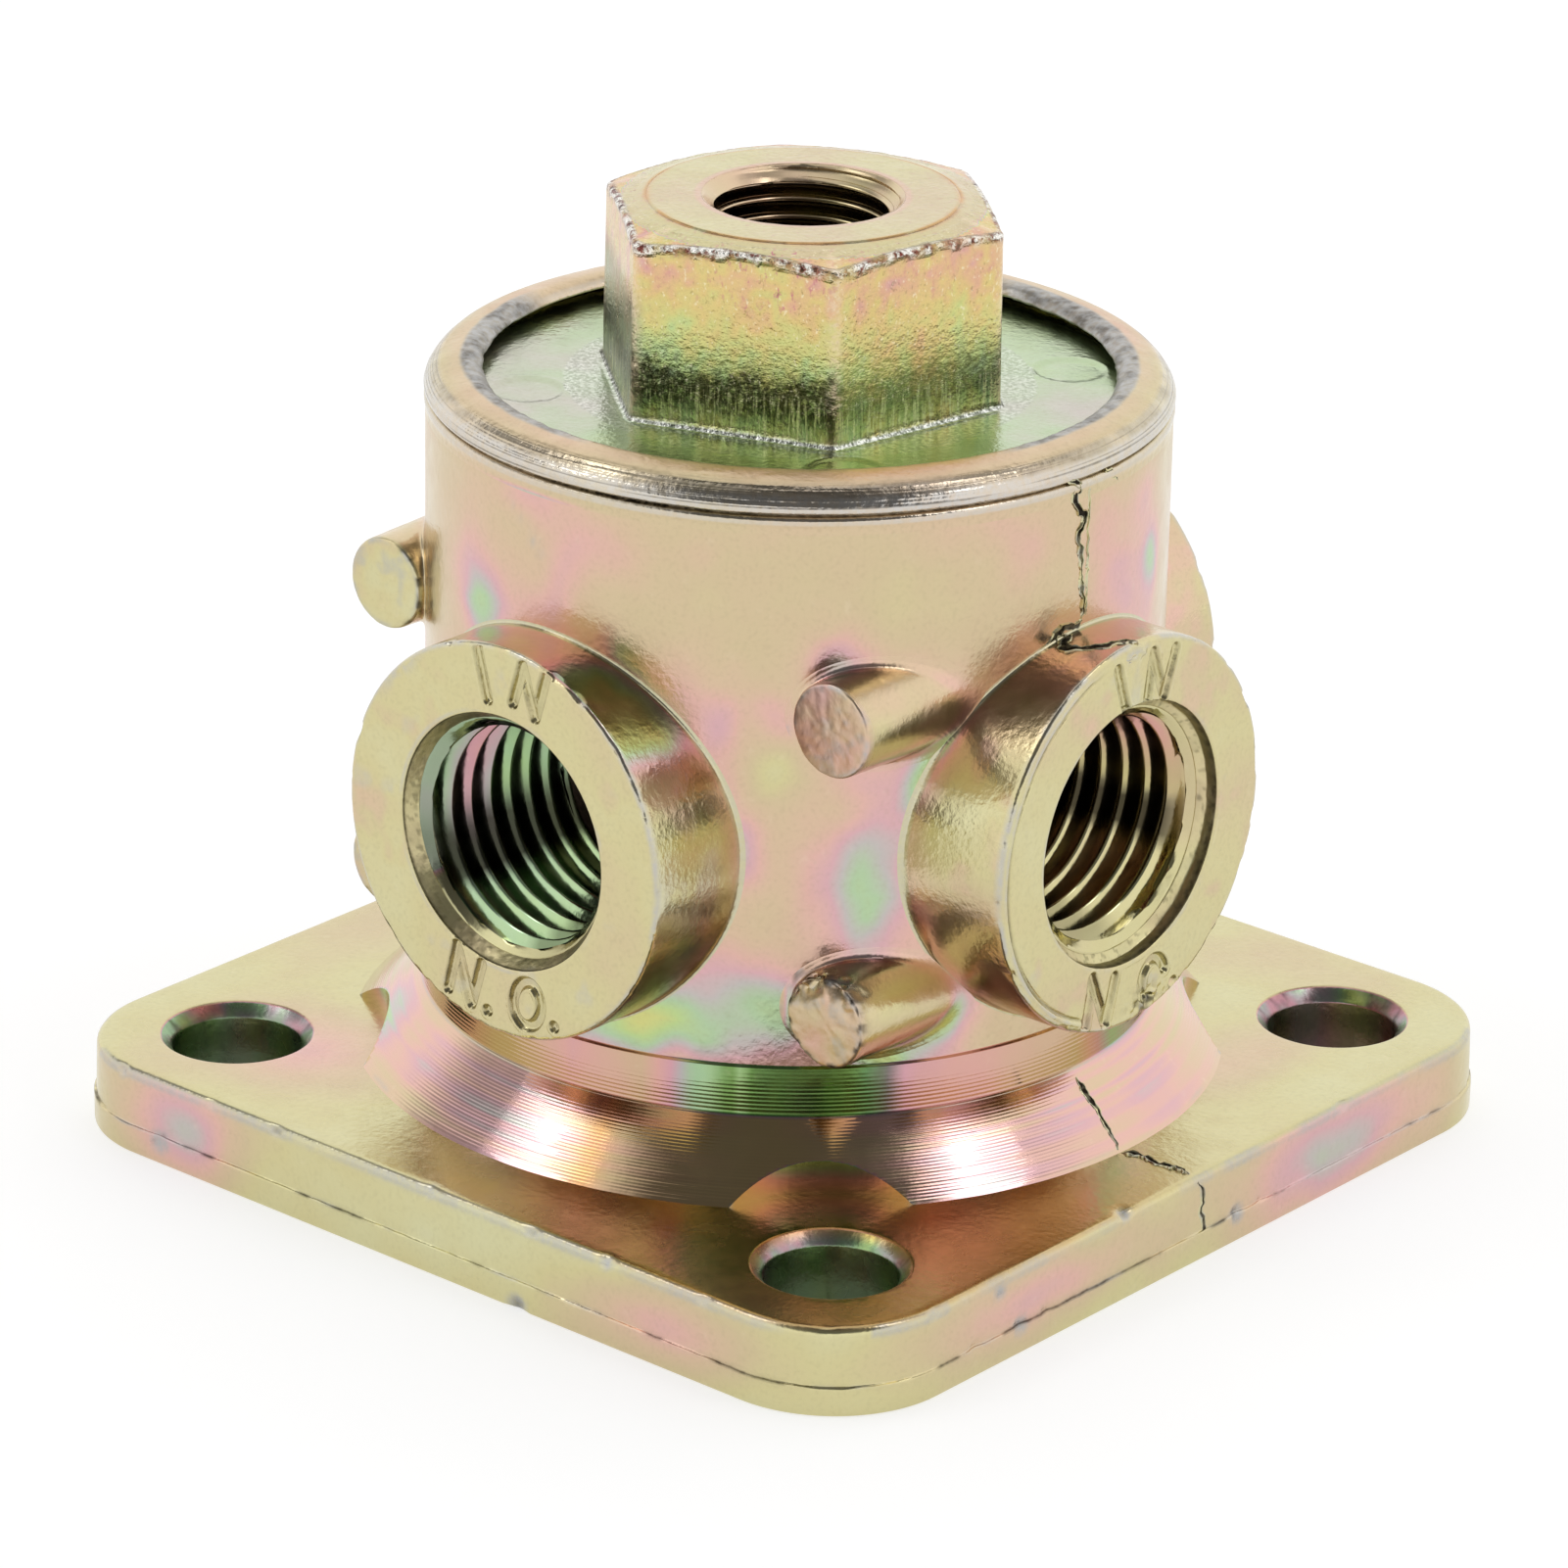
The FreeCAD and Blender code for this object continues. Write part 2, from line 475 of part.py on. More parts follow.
# --------------------------------------------------------------------------
# stack in the bore: lower seat, outlet cage, upper seat, inlet spacer, guide bushing
# --------------------------------------------------------------------------
g = D.seat_groove_half
lo = D.ledge_height
s1 = new_body("lower_seat")
mid = lo + D.seat_thick / 2
revolve(s1, "seat", [
    (D.seat_bore_rad, lo), (D.insert_rad, lo), (D.insert_rad, mid - g), (D.seat_groove_rad, mid - g), (D.seat_groove_rad, mid + g), (D.insert_rad, mid + g),
    (D.insert_rad, lo + D.seat_thick), (D.lip_out + 0.35, lo + D.seat_thick), (D.lip_out - 0.20, lo + D.seat_thick + D.lip_rise), (D.lip_in + 0.15, lo + D.seat_thick + D.lip_rise),
    (D.seat_bore_rad, lo + D.seat_thick + D.lip_rise - 0.4)])
grew(s1, 0.0, "lower_seat")
torus("lower_seat_o_ring", D.seat_groove_rad + D.seat_oring_minor + 0.01, D.seat_oring_minor, mid)

up = D.upper_seat_low
s2 = new_body("upper_seat")
mid = up + D.seat_thick / 2
revolve(s2, "seat", [
    (D.seat_bore_rad, up - D.lip_rise + 0.4), (D.lip_in + 0.15, up - D.lip_rise), (D.lip_out - 0.20, up - D.lip_rise), (D.lip_out + 0.35, up), (D.insert_rad, up),
    (D.insert_rad, mid - g), (D.seat_groove_rad, mid - g), (D.seat_groove_rad, mid + g), (D.insert_rad, mid + g), (D.insert_rad, up + D.seat_thick), (D.seat_bore_rad, up + D.seat_thick)])
grew(s2, 0.0, "upper_seat")
torus("upper_seat_o_ring", D.seat_groove_rad + D.seat_oring_minor + 0.01, D.seat_oring_minor, mid)


def windowed_ring(label, low, high, win_low, win_high, win_wide, count):
    """A plain spacer ring with windows cut through its wall."""
    b_ = new_body(label)
    revolve(b_, "ring", [(D.cage_in, low), (D.insert_rad, low), (D.insert_rad, high), (D.cage_in, high)])
    v_ = grew(b_, 0.0, label)
    sk_ = new_sketch(b_, "window_sketch", "YZ_Plane")
    half = win_wide / 2
    polygon(sk_, [(-half, win_low), (half, win_low), (half, win_high), (-half, win_high)])
    p_ = extrude(b_, "window", sk_, 12.0, reverse=True, cut=True)
    v_ = grew(b_, v_, label + " window", more=False)
    pat = b_.newObject("PartDesign::PolarPattern", "windows")
    pat.Originals = [p_]
    pat.Axis = (sk_, ["V_Axis"])
    pat.Angle = 360.0
    pat.Occurrences = count
    b_.Tip = pat
    grew(b_, v_, label + " windows", more=False)
    return b_


windowed_ring("outlet_cage", lo + D.seat_thick, up, D.cage_window_low, D.cage_window_high, D.cage_window_wide, 6)
windowed_ring("inlet_spacer", up + D.seat_thick, D.bush_low, up + D.seat_thick + 0.35, D.bush_low - 0.35, D.spacer_window_wide, 6)

gb = new_body("guide_bushing")
mid = (D.bush_low + D.bush_flange_top) / 2
revolve(gb, "bushing", [
    (D.bush_bore_rad, D.bush_low), (D.insert_rad, D.bush_low), (D.insert_rad, mid - g), (D.seat_groove_rad, mid - g), (D.seat_groove_rad, mid + g), (D.insert_rad, mid + g),
    (D.insert_rad, D.bush_flange_top), (D.bush_boss_rad, D.bush_flange_top), (D.bush_boss_rad, D.bush_boss_top - 0.5), (D.bush_boss_rad - 0.5, D.bush_boss_top),
    (D.bush_bore_rad, D.bush_boss_top), (D.bush_bore_rad, D.stem_seal_high), (D.stem_seal_groove, D.stem_seal_high), (D.stem_seal_groove, D.stem_seal_low), (D.bush_bore_rad, D.stem_seal_low)])
grew(gb, 0.0, "guide_bushing")
torus("bushing_o_ring", D.seat_groove_rad + D.seat_oring_minor + 0.01, D.seat_oring_minor, mid)
torus("stem_o_ring", D.stem_rad + 0.03 + D.stem_seal_minor, D.stem_seal_minor, (D.stem_seal_low + D.stem_seal_high) / 2)

# open ring that holds the stack down
sc = new_body("stack_circlip")
revolve(sc, "ring", [(D.clip_groove_rad - 1.9, D.clip_height + 0.02), (D.clip_groove_rad - 0.03, D.clip_height + 0.02), (D.clip_groove_rad - 0.03, D.clip_height + D.clip_thick), (D.clip_groove_rad - 1.9, D.clip_height + D.clip_thick)])
vol = grew(sc, 0.0, "stack_circlip")
sk = new_sketch(sc, "gap_sketch", "XY_Plane", offset=D.clip_height - 1.0)
polygon(sk, [(-2.2, -12.0), (2.2, -12.0), (1.4, -5.0), (-1.4, -5.0)])
extrude(sc, "gap", sk, 4.0, reverse=True, cut=True)
grew(sc, vol, "circlip gap", more=False)

# --------------------------------------------------------------------------
# the moving shuttle: piston, stem, double-faced poppet, spring retainer
# --------------------------------------------------------------------------
st = new_body("stem")
revolve(st, "stem", [
    (0, D.stem_low_end), (D.stem_tail_rad - 0.2, D.stem_low_end), (D.stem_tail_rad, D.stem_low_end + 0.2), (D.stem_tail_rad, D.tail_clip_low - 0.02), (D.tail_groove_rad, D.tail_clip_low - 0.02),
    (D.tail_groove_rad, D.retainer_low - 0.005), (D.stem_tail_rad, D.retainer_low - 0.005), (D.stem_tail_rad, D.tail_shoulder), (D.stem_low_rad, D.tail_shoulder), (D.stem_low_rad, D.poppet_high), (D.stem_rad, D.poppet_high),
    (D.stem_rad, D.stem_shoulder), (D.stem_land_rad, D.stem_shoulder), (D.stem_land_rad, D.stem_top - 0.3), (D.stem_land_rad - 0.3, D.stem_top), (0, D.stem_top)])
grew(st, 0.0, "stem")

pi = new_body("piston")
revolve(pi, "piston", [
    (D.stem_land_rad + D.land_gap, D.piston_web_low), (D.piston_skirt_in, D.piston_web_low), (D.piston_skirt_in, D.piston_skirt_low), (D.piston_rad - 0.3, D.piston_skirt_low), (D.piston_rad, D.piston_skirt_low + 0.3),
    (D.piston_rad, D.seal_groove_low), (D.seal_groove_rad, D.seal_groove_low), (D.seal_groove_rad, D.seal_groove_high), (D.piston_rad, D.seal_groove_high), (D.piston_rad, D.piston_top - 0.3), (D.piston_rad - 0.3, D.piston_top),
    (D.piston_hub_rad + 1.0, D.piston_top), (D.piston_hub_rad, D.piston_web_top), (D.stem_land_rad + D.land_gap, D.piston_web_top)])
grew(pi, 0.0, "piston")
torus("piston_o_ring", D.seal_groove_rad + 0.01 + 0.85, 0.85, (D.seal_groove_low + D.seal_groove_high) / 2)

wa = new_body("piston_washer")
revolve(wa, "washer", [(D.stem_land_rad + D.land_gap, D.piston_web_top), (D.washer_rad, D.piston_web_top), (D.washer_rad, D.piston_web_top + D.washer_thick), (D.stem_land_rad + D.land_gap, D.piston_web_top + D.washer_thick)])
grew(wa, 0.0, "piston_washer")


def hex_nut(label, low, thick, flat, hole, turn):
    n_ = new_body(label)
    sk_ = new_sketch(n_, "hex_sketch", "XY_Plane", offset=low, turn=turn)
    polygon(sk_, [(flat * (1 / c), 0), (flat * (0.5 / c), flat), (-(flat * (0.5 / c)), flat), (-(flat * (1 / c)), 0), (-(flat * (0.5 / c)), -flat), (flat * (0.5 / c), -flat)])
    ring(sk_, 0, 0, hole)
    extrude(n_, "nut", sk_, thick)
    v_ = grew(n_, 0.0, label)
    revolve(n_, "crown", [(flat, low + thick), (flat * (1 / c) + 0.5, low + thick - 0.45), (flat * (1 / c) + 0.5, low + thick + 1.0), (flat, low + thick + 1.0)], cut=True)
    grew(n_, v_, label + " crown", more=False)
    return n_


hex_nut("piston_nut", D.piston_web_top + D.washer_thick, D.nut_thick, D.nut_flat_half, D.stem_land_rad + D.land_gap, 10.0)

lowp, highp = D.poppet_low, D.poppet_high
ts = D.poppet_seal_thick
po = new_body("poppet_core")
revolve(po, "core", [
    (D.stem_low_rad + D.land_gap, lowp), (D.poppet_hub_rad, lowp), (D.poppet_hub_rad, lowp + ts), (D.poppet_rad, lowp + ts), (D.poppet_rad, highp - ts),
    (D.poppet_hub_rad, highp - ts), (D.poppet_hub_rad, highp), (D.stem_low_rad + D.land_gap, highp)])
grew(po, 0.0, "poppet_core")
for label, low in (("lower_poppet_seal", lowp), ("upper_poppet_seal", highp - ts)):
    ps = new_body(label)
    revolve(ps, "disc", [(D.poppet_hub_rad, low), (D.poppet_rad, low), (D.poppet_rad, low + ts), (D.poppet_hub_rad, low + ts)])
    grew(ps, 0.0, label)
hex_nut("poppet_nut", lowp - D.poppet_nut_thick, D.poppet_nut_thick, D.poppet_nut_flat_half, D.stem_low_rad + D.land_gap, 25.0)

sr = new_body("spring_retainer")
revolve(sr, "retainer", [(D.stem_tail_rad + D.land_gap, D.retainer_low), (D.retainer_rad, D.retainer_low), (D.retainer_rad, D.retainer_low + 0.5), (D.retainer_rad - 0.5, D.tail_shoulder), (D.stem_tail_rad + D.land_gap, D.tail_shoulder)])
grew(sr, 0.0, "spring_retainer")

rc = new_body("retainer_clip")
revolve(rc, "ring", [(D.tail_groove_rad + 0.02, D.tail_clip_low), (D.tail_clip_out, D.tail_clip_low), (D.tail_clip_out, D.tail_clip_low + D.tail_clip_thick), (D.tail_groove_rad + 0.02, D.tail_clip_low + D.tail_clip_thick)])
vol = grew(rc, 0.0, "retainer_clip")
sk = new_sketch(rc, "gap_sketch", "XY_Plane", offset=D.tail_clip_low - 0.5)
polygon(sk, [(-0.85, -4.0), (0.85, -4.0), (0.85, 0.0), (-0.85, 0.0)])
extrude(rc, "gap", sk, 2.0, reverse=True, cut=True)
grew(rc, vol, "clip gap", more=False)

# return spring, a plain helix of round wire between the well floor and the retainer
helix = doc.addObject("Part::Helix", "spring_path")
low_z = D.floor_height + D.spring_wire_rad + 0.01
high_z = D.retainer_low - D.spring_wire_rad - 0.02
helix.Radius = D.spring_mid_rad.value
helix.setExpression("Radius", D.spring_mid_rad.text)
helix.Height = (high_z - low_z).value
helix.setExpression("Height", (high_z - low_z).text)
helix.Pitch = ((high_z - low_z) / D.spring_turns).value
helix.setExpression("Pitch", ((high_z - low_z) / D.spring_turns).text)
helix.Placement = FreeCAD.Placement(V(0, 0, low_z.value), FreeCAD.Rotation())
helix.setExpression("Placement.Base.z", low_z.text)
wire = doc.addObject("Part::Circle", "spring_section")
wire.Radius = D.spring_wire_rad.value
wire.setExpression("Radius", D.spring_wire_rad.text)
wire.Placement = FreeCAD.Placement(V(D.spring_mid_rad.value, 0, low_z.value), FreeCAD.Rotation(V(1, 0, 0), 90))
wire.setExpression("Placement.Base.x", D.spring_mid_rad.text)
wire.setExpression("Placement.Base.z", low_z.text)
doc.recompute()
spring = doc.addObject("Part::Sweep", "return_spring")
spring.Label = "return_spring"
spring.Sections = [wire]
spring.Spine = (helix, ["Edge%d" % (i + 1) for i in range(len(helix.Shape.Edges))])
spring.Solid = True
spring.Frenet = True
made.append(spring)
doc.recompute()

# --------------------------------------------------------------------------
# checks, then one STEP file for each piece
# --------------------------------------------------------------------------
for o in doc.Objects:
    if "Invalid" in o.State or "Error" in o.State:
        raise RuntimeError("%s (%s) failed: %s" % (o.Name, o.Label, o.State))
for o in made:
    s_ = o.Shape
    if s_.isNull() or not s_.isValid() or len(s_.Solids) != 1:
        raise RuntimeError("%s is not one valid solid: null %s valid %s solids %d" % (o.Label, s_.isNull(), s_.isValid(), len(s_.Solids)))
for o in made:
    o.Shape.exportStep("parts/%s.step" % o.Label)
    bb = o.Shape.BoundBox
    print("%-20s vol %10.2f  x %.2f..%.2f  y %.2f..%.2f  z %.2f..%.2f" % (o.Label, o.Shape.Volume, bb.XMin, bb.XMax, bb.YMin, bb.YMax, bb.ZMin, bb.ZMax))
print(len(made), "nodes")
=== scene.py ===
import bpy, json, math
import numpy as np
from mathutils import Matrix, Vector


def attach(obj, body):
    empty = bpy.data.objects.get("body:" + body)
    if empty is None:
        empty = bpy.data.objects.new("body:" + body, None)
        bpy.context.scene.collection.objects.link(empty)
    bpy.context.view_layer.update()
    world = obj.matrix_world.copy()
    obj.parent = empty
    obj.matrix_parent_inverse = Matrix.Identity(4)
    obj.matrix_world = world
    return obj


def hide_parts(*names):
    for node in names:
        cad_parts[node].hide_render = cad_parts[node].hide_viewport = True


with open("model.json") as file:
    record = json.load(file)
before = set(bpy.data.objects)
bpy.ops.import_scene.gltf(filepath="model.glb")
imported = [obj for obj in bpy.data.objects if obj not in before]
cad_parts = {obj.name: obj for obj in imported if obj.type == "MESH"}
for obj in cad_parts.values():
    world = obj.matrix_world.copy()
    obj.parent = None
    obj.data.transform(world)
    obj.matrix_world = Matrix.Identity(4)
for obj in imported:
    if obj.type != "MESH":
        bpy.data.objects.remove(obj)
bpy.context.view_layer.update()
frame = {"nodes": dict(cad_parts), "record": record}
nodes = frame["nodes"]
MM = 0.001
PI = math.pi


# ---------------------------------------------------------------- seeded noise, all sizes in mm
def hash01(ix, iy, iz, seed):
    with np.errstate(over="ignore"):
        h = (ix.astype(np.uint32) * np.uint32(374761393)) ^ (iy.astype(np.uint32) * np.uint32(668265263))
        h ^= (iz.astype(np.uint32) * np.uint32(2246822519)) ^ np.uint32((seed * 3266489917 + 97531) & 0xFFFFFFFF)
        h ^= h >> np.uint32(15)
        h *= np.uint32(2246822519)
        h ^= h >> np.uint32(13)
        h *= np.uint32(3266489917)
        h ^= h >> np.uint32(16)
    return h.astype(np.float64) / 4294967295.0


def vnoise(P, size, seed=0):
    q = np.asarray(P, float) / size
    i = np.floor(q).astype(np.int64)
    f = q - i
    f = f * f * (3 - 2 * f)
    out = 0.0
    for dx in (0, 1):
        wx = f[..., 0] if dx else 1 - f[..., 0]
        for dy in (0, 1):
            wy = f[..., 1] if dy else 1 - f[..., 1]
            for dz in (0, 1):
                wz = f[..., 2] if dz else 1 - f[..., 2]
                out = out + wx * wy * wz * hash01(i[..., 0] + dx, i[..., 1] + dy, i[..., 2] + dz, seed)
    return out * 2 - 1


def fbm(P, size, seed=0, octaves=3):
    out, amp, tot = 0.0, 1.0, 0.0
    for k in range(octaves):
        out = out + amp * vnoise(P, size / 2 ** k, seed + 17 * k)
        tot += amp
        amp *= 0.5
    return out / tot


def sstep(a, b, x):
    t = np.clip((np.asarray(x, float) - a) / (b - a), 0, 1)
    return t * t * (3 - 2 * t)


def gauss(x, c, s):
    return np.exp(-((x - c) / s) ** 2)


def adiff(a, b):
    return (a - b + 180.0) % 360.0 - 180.0


# ---------------------------------------------------------------- mesh building
def quads(nv, nu, wu=True, wv=False):
    i = np.arange(nu if wu else nu - 1)
    j = np.arange(nv if wv else nv - 1)
    I, J = np.meshgrid(i, j)
    a = J * nu + I
    b = J * nu + (I + 1) % nu
    c = ((J + 1) % nv) * nu + (I + 1) % nu
    d = ((J + 1) % nv) * nu + I
    return np.stack([a, b, c, d], -1).reshape(-1, 4)


def signed_volume(V, polys):
    t = 0.0
    for F in polys:
        F = np.asarray(F)
        if F.ndim == 1:
            F = F[None, :]
        for k in range(1, F.shape[1] - 1):
            t += np.einsum("ij,ij->i", V[F[:, 0]], np.cross(V[F[:, k]], V[F[:, k + 1]])).sum()
    return t / 6


def make(name, V, polys, sharp=None, flip=None):
    V = np.asarray(V, float).reshape(-1, 3)
    polys = [np.atleast_2d(np.asarray(F, int)) for F in polys]
    if flip is None:
        flip = signed_volume(V - V.mean(0), polys) < 0
    if flip:
        polys = [F[:, ::-1] for F in polys]
    used = np.unique(np.concatenate([F.ravel() for F in polys]))
    if len(used) < len(V):
        remap = np.full(len(V), -1)
        remap[used] = np.arange(len(used))
        V = V[used]
        polys = [remap[F] for F in polys]
    me = bpy.data.meshes.new(name)
    me.vertices.add(len(V))
    me.vertices.foreach_set("co", (V * MM).astype(np.float32).ravel())
    loops = np.concatenate([F.ravel() for F in polys]).astype(np.int32)
    sizes = np.concatenate([np.full(len(F), F.shape[1]) for F in polys])
    starts = np.concatenate([[0], np.cumsum(sizes)[:-1]]).astype(np.int32)
    me.loops.add(len(loops))
    me.loops.foreach_set("vertex_index", loops)
    me.polygons.add(len(sizes))
    me.polygons.foreach_set("loop_start", starts)
    me.update(calc_edges=True)
    me.validate()
    me.shade_smooth()
    if sharp:
        me.set_sharp_from_angle(angle=math.radians(sharp))
    ob = bpy.data.objects.new(name, me)
    bpy.context.scene.collection.objects.link(ob)
    return ob


def torus_grid(name, P, sharp=None):
    """closed solid from rows that wrap both ways"""
    nv, nu = P.shape[:2]
    return make(name, P, [quads(nv, nu, True, True)], sharp)


def capped(P):
    """vertices and faces of a tube whose first and last rows are closed by one face each"""
    nv, nu = P.shape[:2]
    return P.reshape(-1, 3), [quads(nv, nu, True, False), np.arange(nu)[::-1], (nv - 1) * nu + np.arange(nu)]


def merge(parts):
    V, polys, off = [], [], 0
    for v, fs in parts:
        if signed_volume(v - v.mean(0), [np.atleast_2d(f) for f in fs]) < 0:
            fs = [np.atleast_2d(f)[:, ::-1] for f in fs]
        V.append(v)
        polys += [np.atleast_2d(f) + off for f in fs]
        off += len(v)
    return np.concatenate(V), polys


def lathe(prof, nu, origin=(0, 0, 0), e1=(1, 0, 0), e2=(0, 1, 0), ax=(0, 0, 1)):
    """rows of a revolve: prof is (radius, height) along ax"""
    prof = np.asarray(prof, float)
    t = np.arange(nu) * 2 * PI / nu
    e1, e2, ax, o = [np.asarray(k, float) for k in (e1, e2, ax, origin)]
    ring = np.cos(t)[:, None] * e1 + np.sin(t)[:, None] * e2
    return o + prof[:, 0, None, None] * ring[None] + prof[:, 1, None, None] * ax


def fine(pts, step):
    """points along a polyline, no further apart than step"""
    pts = np.asarray(pts, float)
    out = [pts[0]]
    for a, b in zip(pts[:-1], pts[1:]):
        n = max(1, int(math.ceil(np.linalg.norm(b - a) / step)))
        for k in range(1, n + 1):
            out.append(a + (b - a) * k / n)
    return np.array(out)


def spline(pts, step):
    """Catmull-Rom through points, sampled"""
    p = np.asarray(pts, float)
    p = np.vstack([2 * p[0] - p[1], p, 2 * p[-1] - p[-2]])
    out = []
    for k in range(1, len(p) - 2):
        n = max(1, int(math.ceil(np.linalg.norm(p[k + 1] - p[k]) / step)))
        for s in range(n):
            t = s / n
            out.append(0.5 * ((2 * p[k]) + (p[k + 1] - p[k - 1]) * t + (2 * p[k - 1] - 5 * p[k] + 4 * p[k + 1] - p[k + 2]) * t * t
                              + (3 * p[k] - p[k - 1] - 3 * p[k + 1] + p[k + 2]) * t ** 3))
    out.append(p[-2])
    return np.array(out)


def arc(c, r, a0, a1, n):
    a = np.radians(np.linspace(a0, a1, n))
    return np.stack([c[0] + r * np.cos(a), c[1] + r * np.sin(a)], -1)


def evaluated(ob):
    dg = bpy.context.evaluated_depsgraph_get()
    me = bpy.data.meshes.new_from_object(ob.evaluated_get(dg), preserve_all_data_layers=True, depsgraph=dg)
    return me


def boolean(ob, cutter, op="DIFFERENCE", sharp=32, self_=False):
    m = ob.modifiers.new("cut", "BOOLEAN")
    m.operation, m.solver, m.object = op, "EXACT", cutter
    m.use_self = self_
    me = evaluated(ob)
    old = ob.data
    ob.modifiers.clear()
    ob.data = me
    bpy.data.meshes.remove(old)
    cm = cutter.data
    bpy.data.objects.remove(cutter)
    bpy.data.meshes.remove(cm)
    me.materials.clear()
    me.shade_smooth()
    me.set_sharp_from_angle(angle=math.radians(sharp))
    return ob


def verts(ob):
    co = np.zeros(len(ob.data.vertices) * 3, np.float32)
    ob.data.vertices.foreach_get("co", co)
    return co.reshape(-1, 3).astype(float) / MM


def normals(ob):
    n = np.zeros(len(ob.data.vertices) * 3, np.float32)
    ob.data.vertices.foreach_get("normal", n)
    return n.reshape(-1, 3).astype(float)


def attribute(ob, name, values):
    a = ob.data.attributes.get(name) or ob.data.attributes.new(name, "FLOAT", "POINT")
    a.data.foreach_set("value", np.asarray(values, np.float32))


# ---------------------------------------------------------------- sizes, as in the CAD model
FLANGE, LOWER, CORNER, THICK, PART_Z = 27.78, 27.90, 6.75, 4.70, 1.60
BOLT, BOLT_R, BOLT_CH, HEAD_R = 20.55, 3.40, 0.65, 8.0
BARREL, PORT_Z, FACE, BOSS_R = 19.15, 21.90, 22.45, 10.42
STUD_X, STUD_END, STUD_R = 15.05, 14.95, 2.43
HEX_AF, HEX_TOP, HEX_AZ, DISC_Z = 19.0, 50.65, 19.5, 40.74
PORTS = {  # name: (outward axis, right of somebody who looks at the face)
    "front": ((0, -1, 0), (1, 0, 0)),
    "right": ((1, 0, 0), (0, 1, 0)),
    "back": ((0, 1, 0), (-1, 0, 0)),
}


def barrel_w(u):
    return np.sqrt(np.maximum(BARREL ** 2 - np.asarray(u) ** 2, 0.01))


# ---------------------------------------------------------------- letters on the boss faces: (u, v) lines from the port's axis
def letter_lines(side):
    z = PORT_Z
    if side == "front":
        L = [[(-1.60, 31.95), (-0.88, 29.35)],
             [(0.80, 29.60), (1.44, 31.70), (2.30, 29.20), (3.00, 31.60)],
             [(-3.56, 12.90), (-2.94, 15.45), (-1.96, 12.54), (-1.26, 14.90)],
             [(-0.84, 12.46), (-0.83, 12.47)], [(3.70, 12.90), (3.71, 12.91)]]
        a = np.linspace(0, 2 * PI, 41)
        ex, ez = 0.92 * np.cos(a), 1.20 * np.sin(a)
        L.append([(1.86 + x * 0.985 + y * 0.17, 13.6 + y * 0.985 - x * 0.17) for x, y in zip(ex, ez)])
    elif side == "right":
        L = [[(-1.60, 31.20), (-0.80, 28.80)],
             [(0.84, 29.00), (1.20, 31.40), (2.20, 28.80), (3.00, 31.10)],
             [(-3.30, 12.20), (-2.80, 14.90), (-1.65, 12.05), (-1.00, 14.40)],
             [(3.85, 12.60), (3.86, 12.61)]]
        a = np.radians(np.linspace(20, 215, 26))
        L.append([(2.20 + 0.98 * math.cos(t), 13.2 + 1.2 * math.sin(t)) for t in a])
    else:
        L = []
    return [[(u, v - z) for u, v in line] for line in L]


def stroke_distance(u, v, lines):
    best = np.full(u.shape, 9.0)
    for line in lines:
        for (ax_, ay), (bx, by) in zip(line[:-1], line[1:]):
            dx, dy = bx - ax_, by - ay
            q = max(dx * dx + dy * dy, 1e-9)
            t = np.clip(((u - ax_) * dx + (v - ay) * dy) / q, 0, 1)
            best = np.minimum(best, np.hypot(u - ax_ - t * dx, v - ay - t * dy))
    return best


# ---------------------------------------------------------------- flange
def outline(half, corner, n_side, n_corner):
    """points and outward directions of a rounded square"""
    pts, nrm = [], []
    c = half - corner
    for k in range(4):
        a0 = k * 90.0
        for t in np.linspace(0, 1, n_corner, endpoint=False):
            a = math.radians(a0 + 90 * t)
            cx, cy = [(c, c), (-c, c), (-c, -c), (c, -c)][k]
            pts.append((cx + corner * math.cos(a), cy + corner * math.sin(a)))
            nrm.append((math.cos(a), math.sin(a)))
        for t in np.linspace(0, 1, n_side, endpoint=False):
            a = math.radians(a0 + 90)
            x, y = [(c - 2 * c * t, half), (-half, c - 2 * c * t), (-c + 2 * c * t, -half), (half, -c + 2 * c * t)][k]
            pts.append((x, y))
            nrm.append((math.cos(a), math.sin(a)))
    return np.array(pts), np.array(nrm)


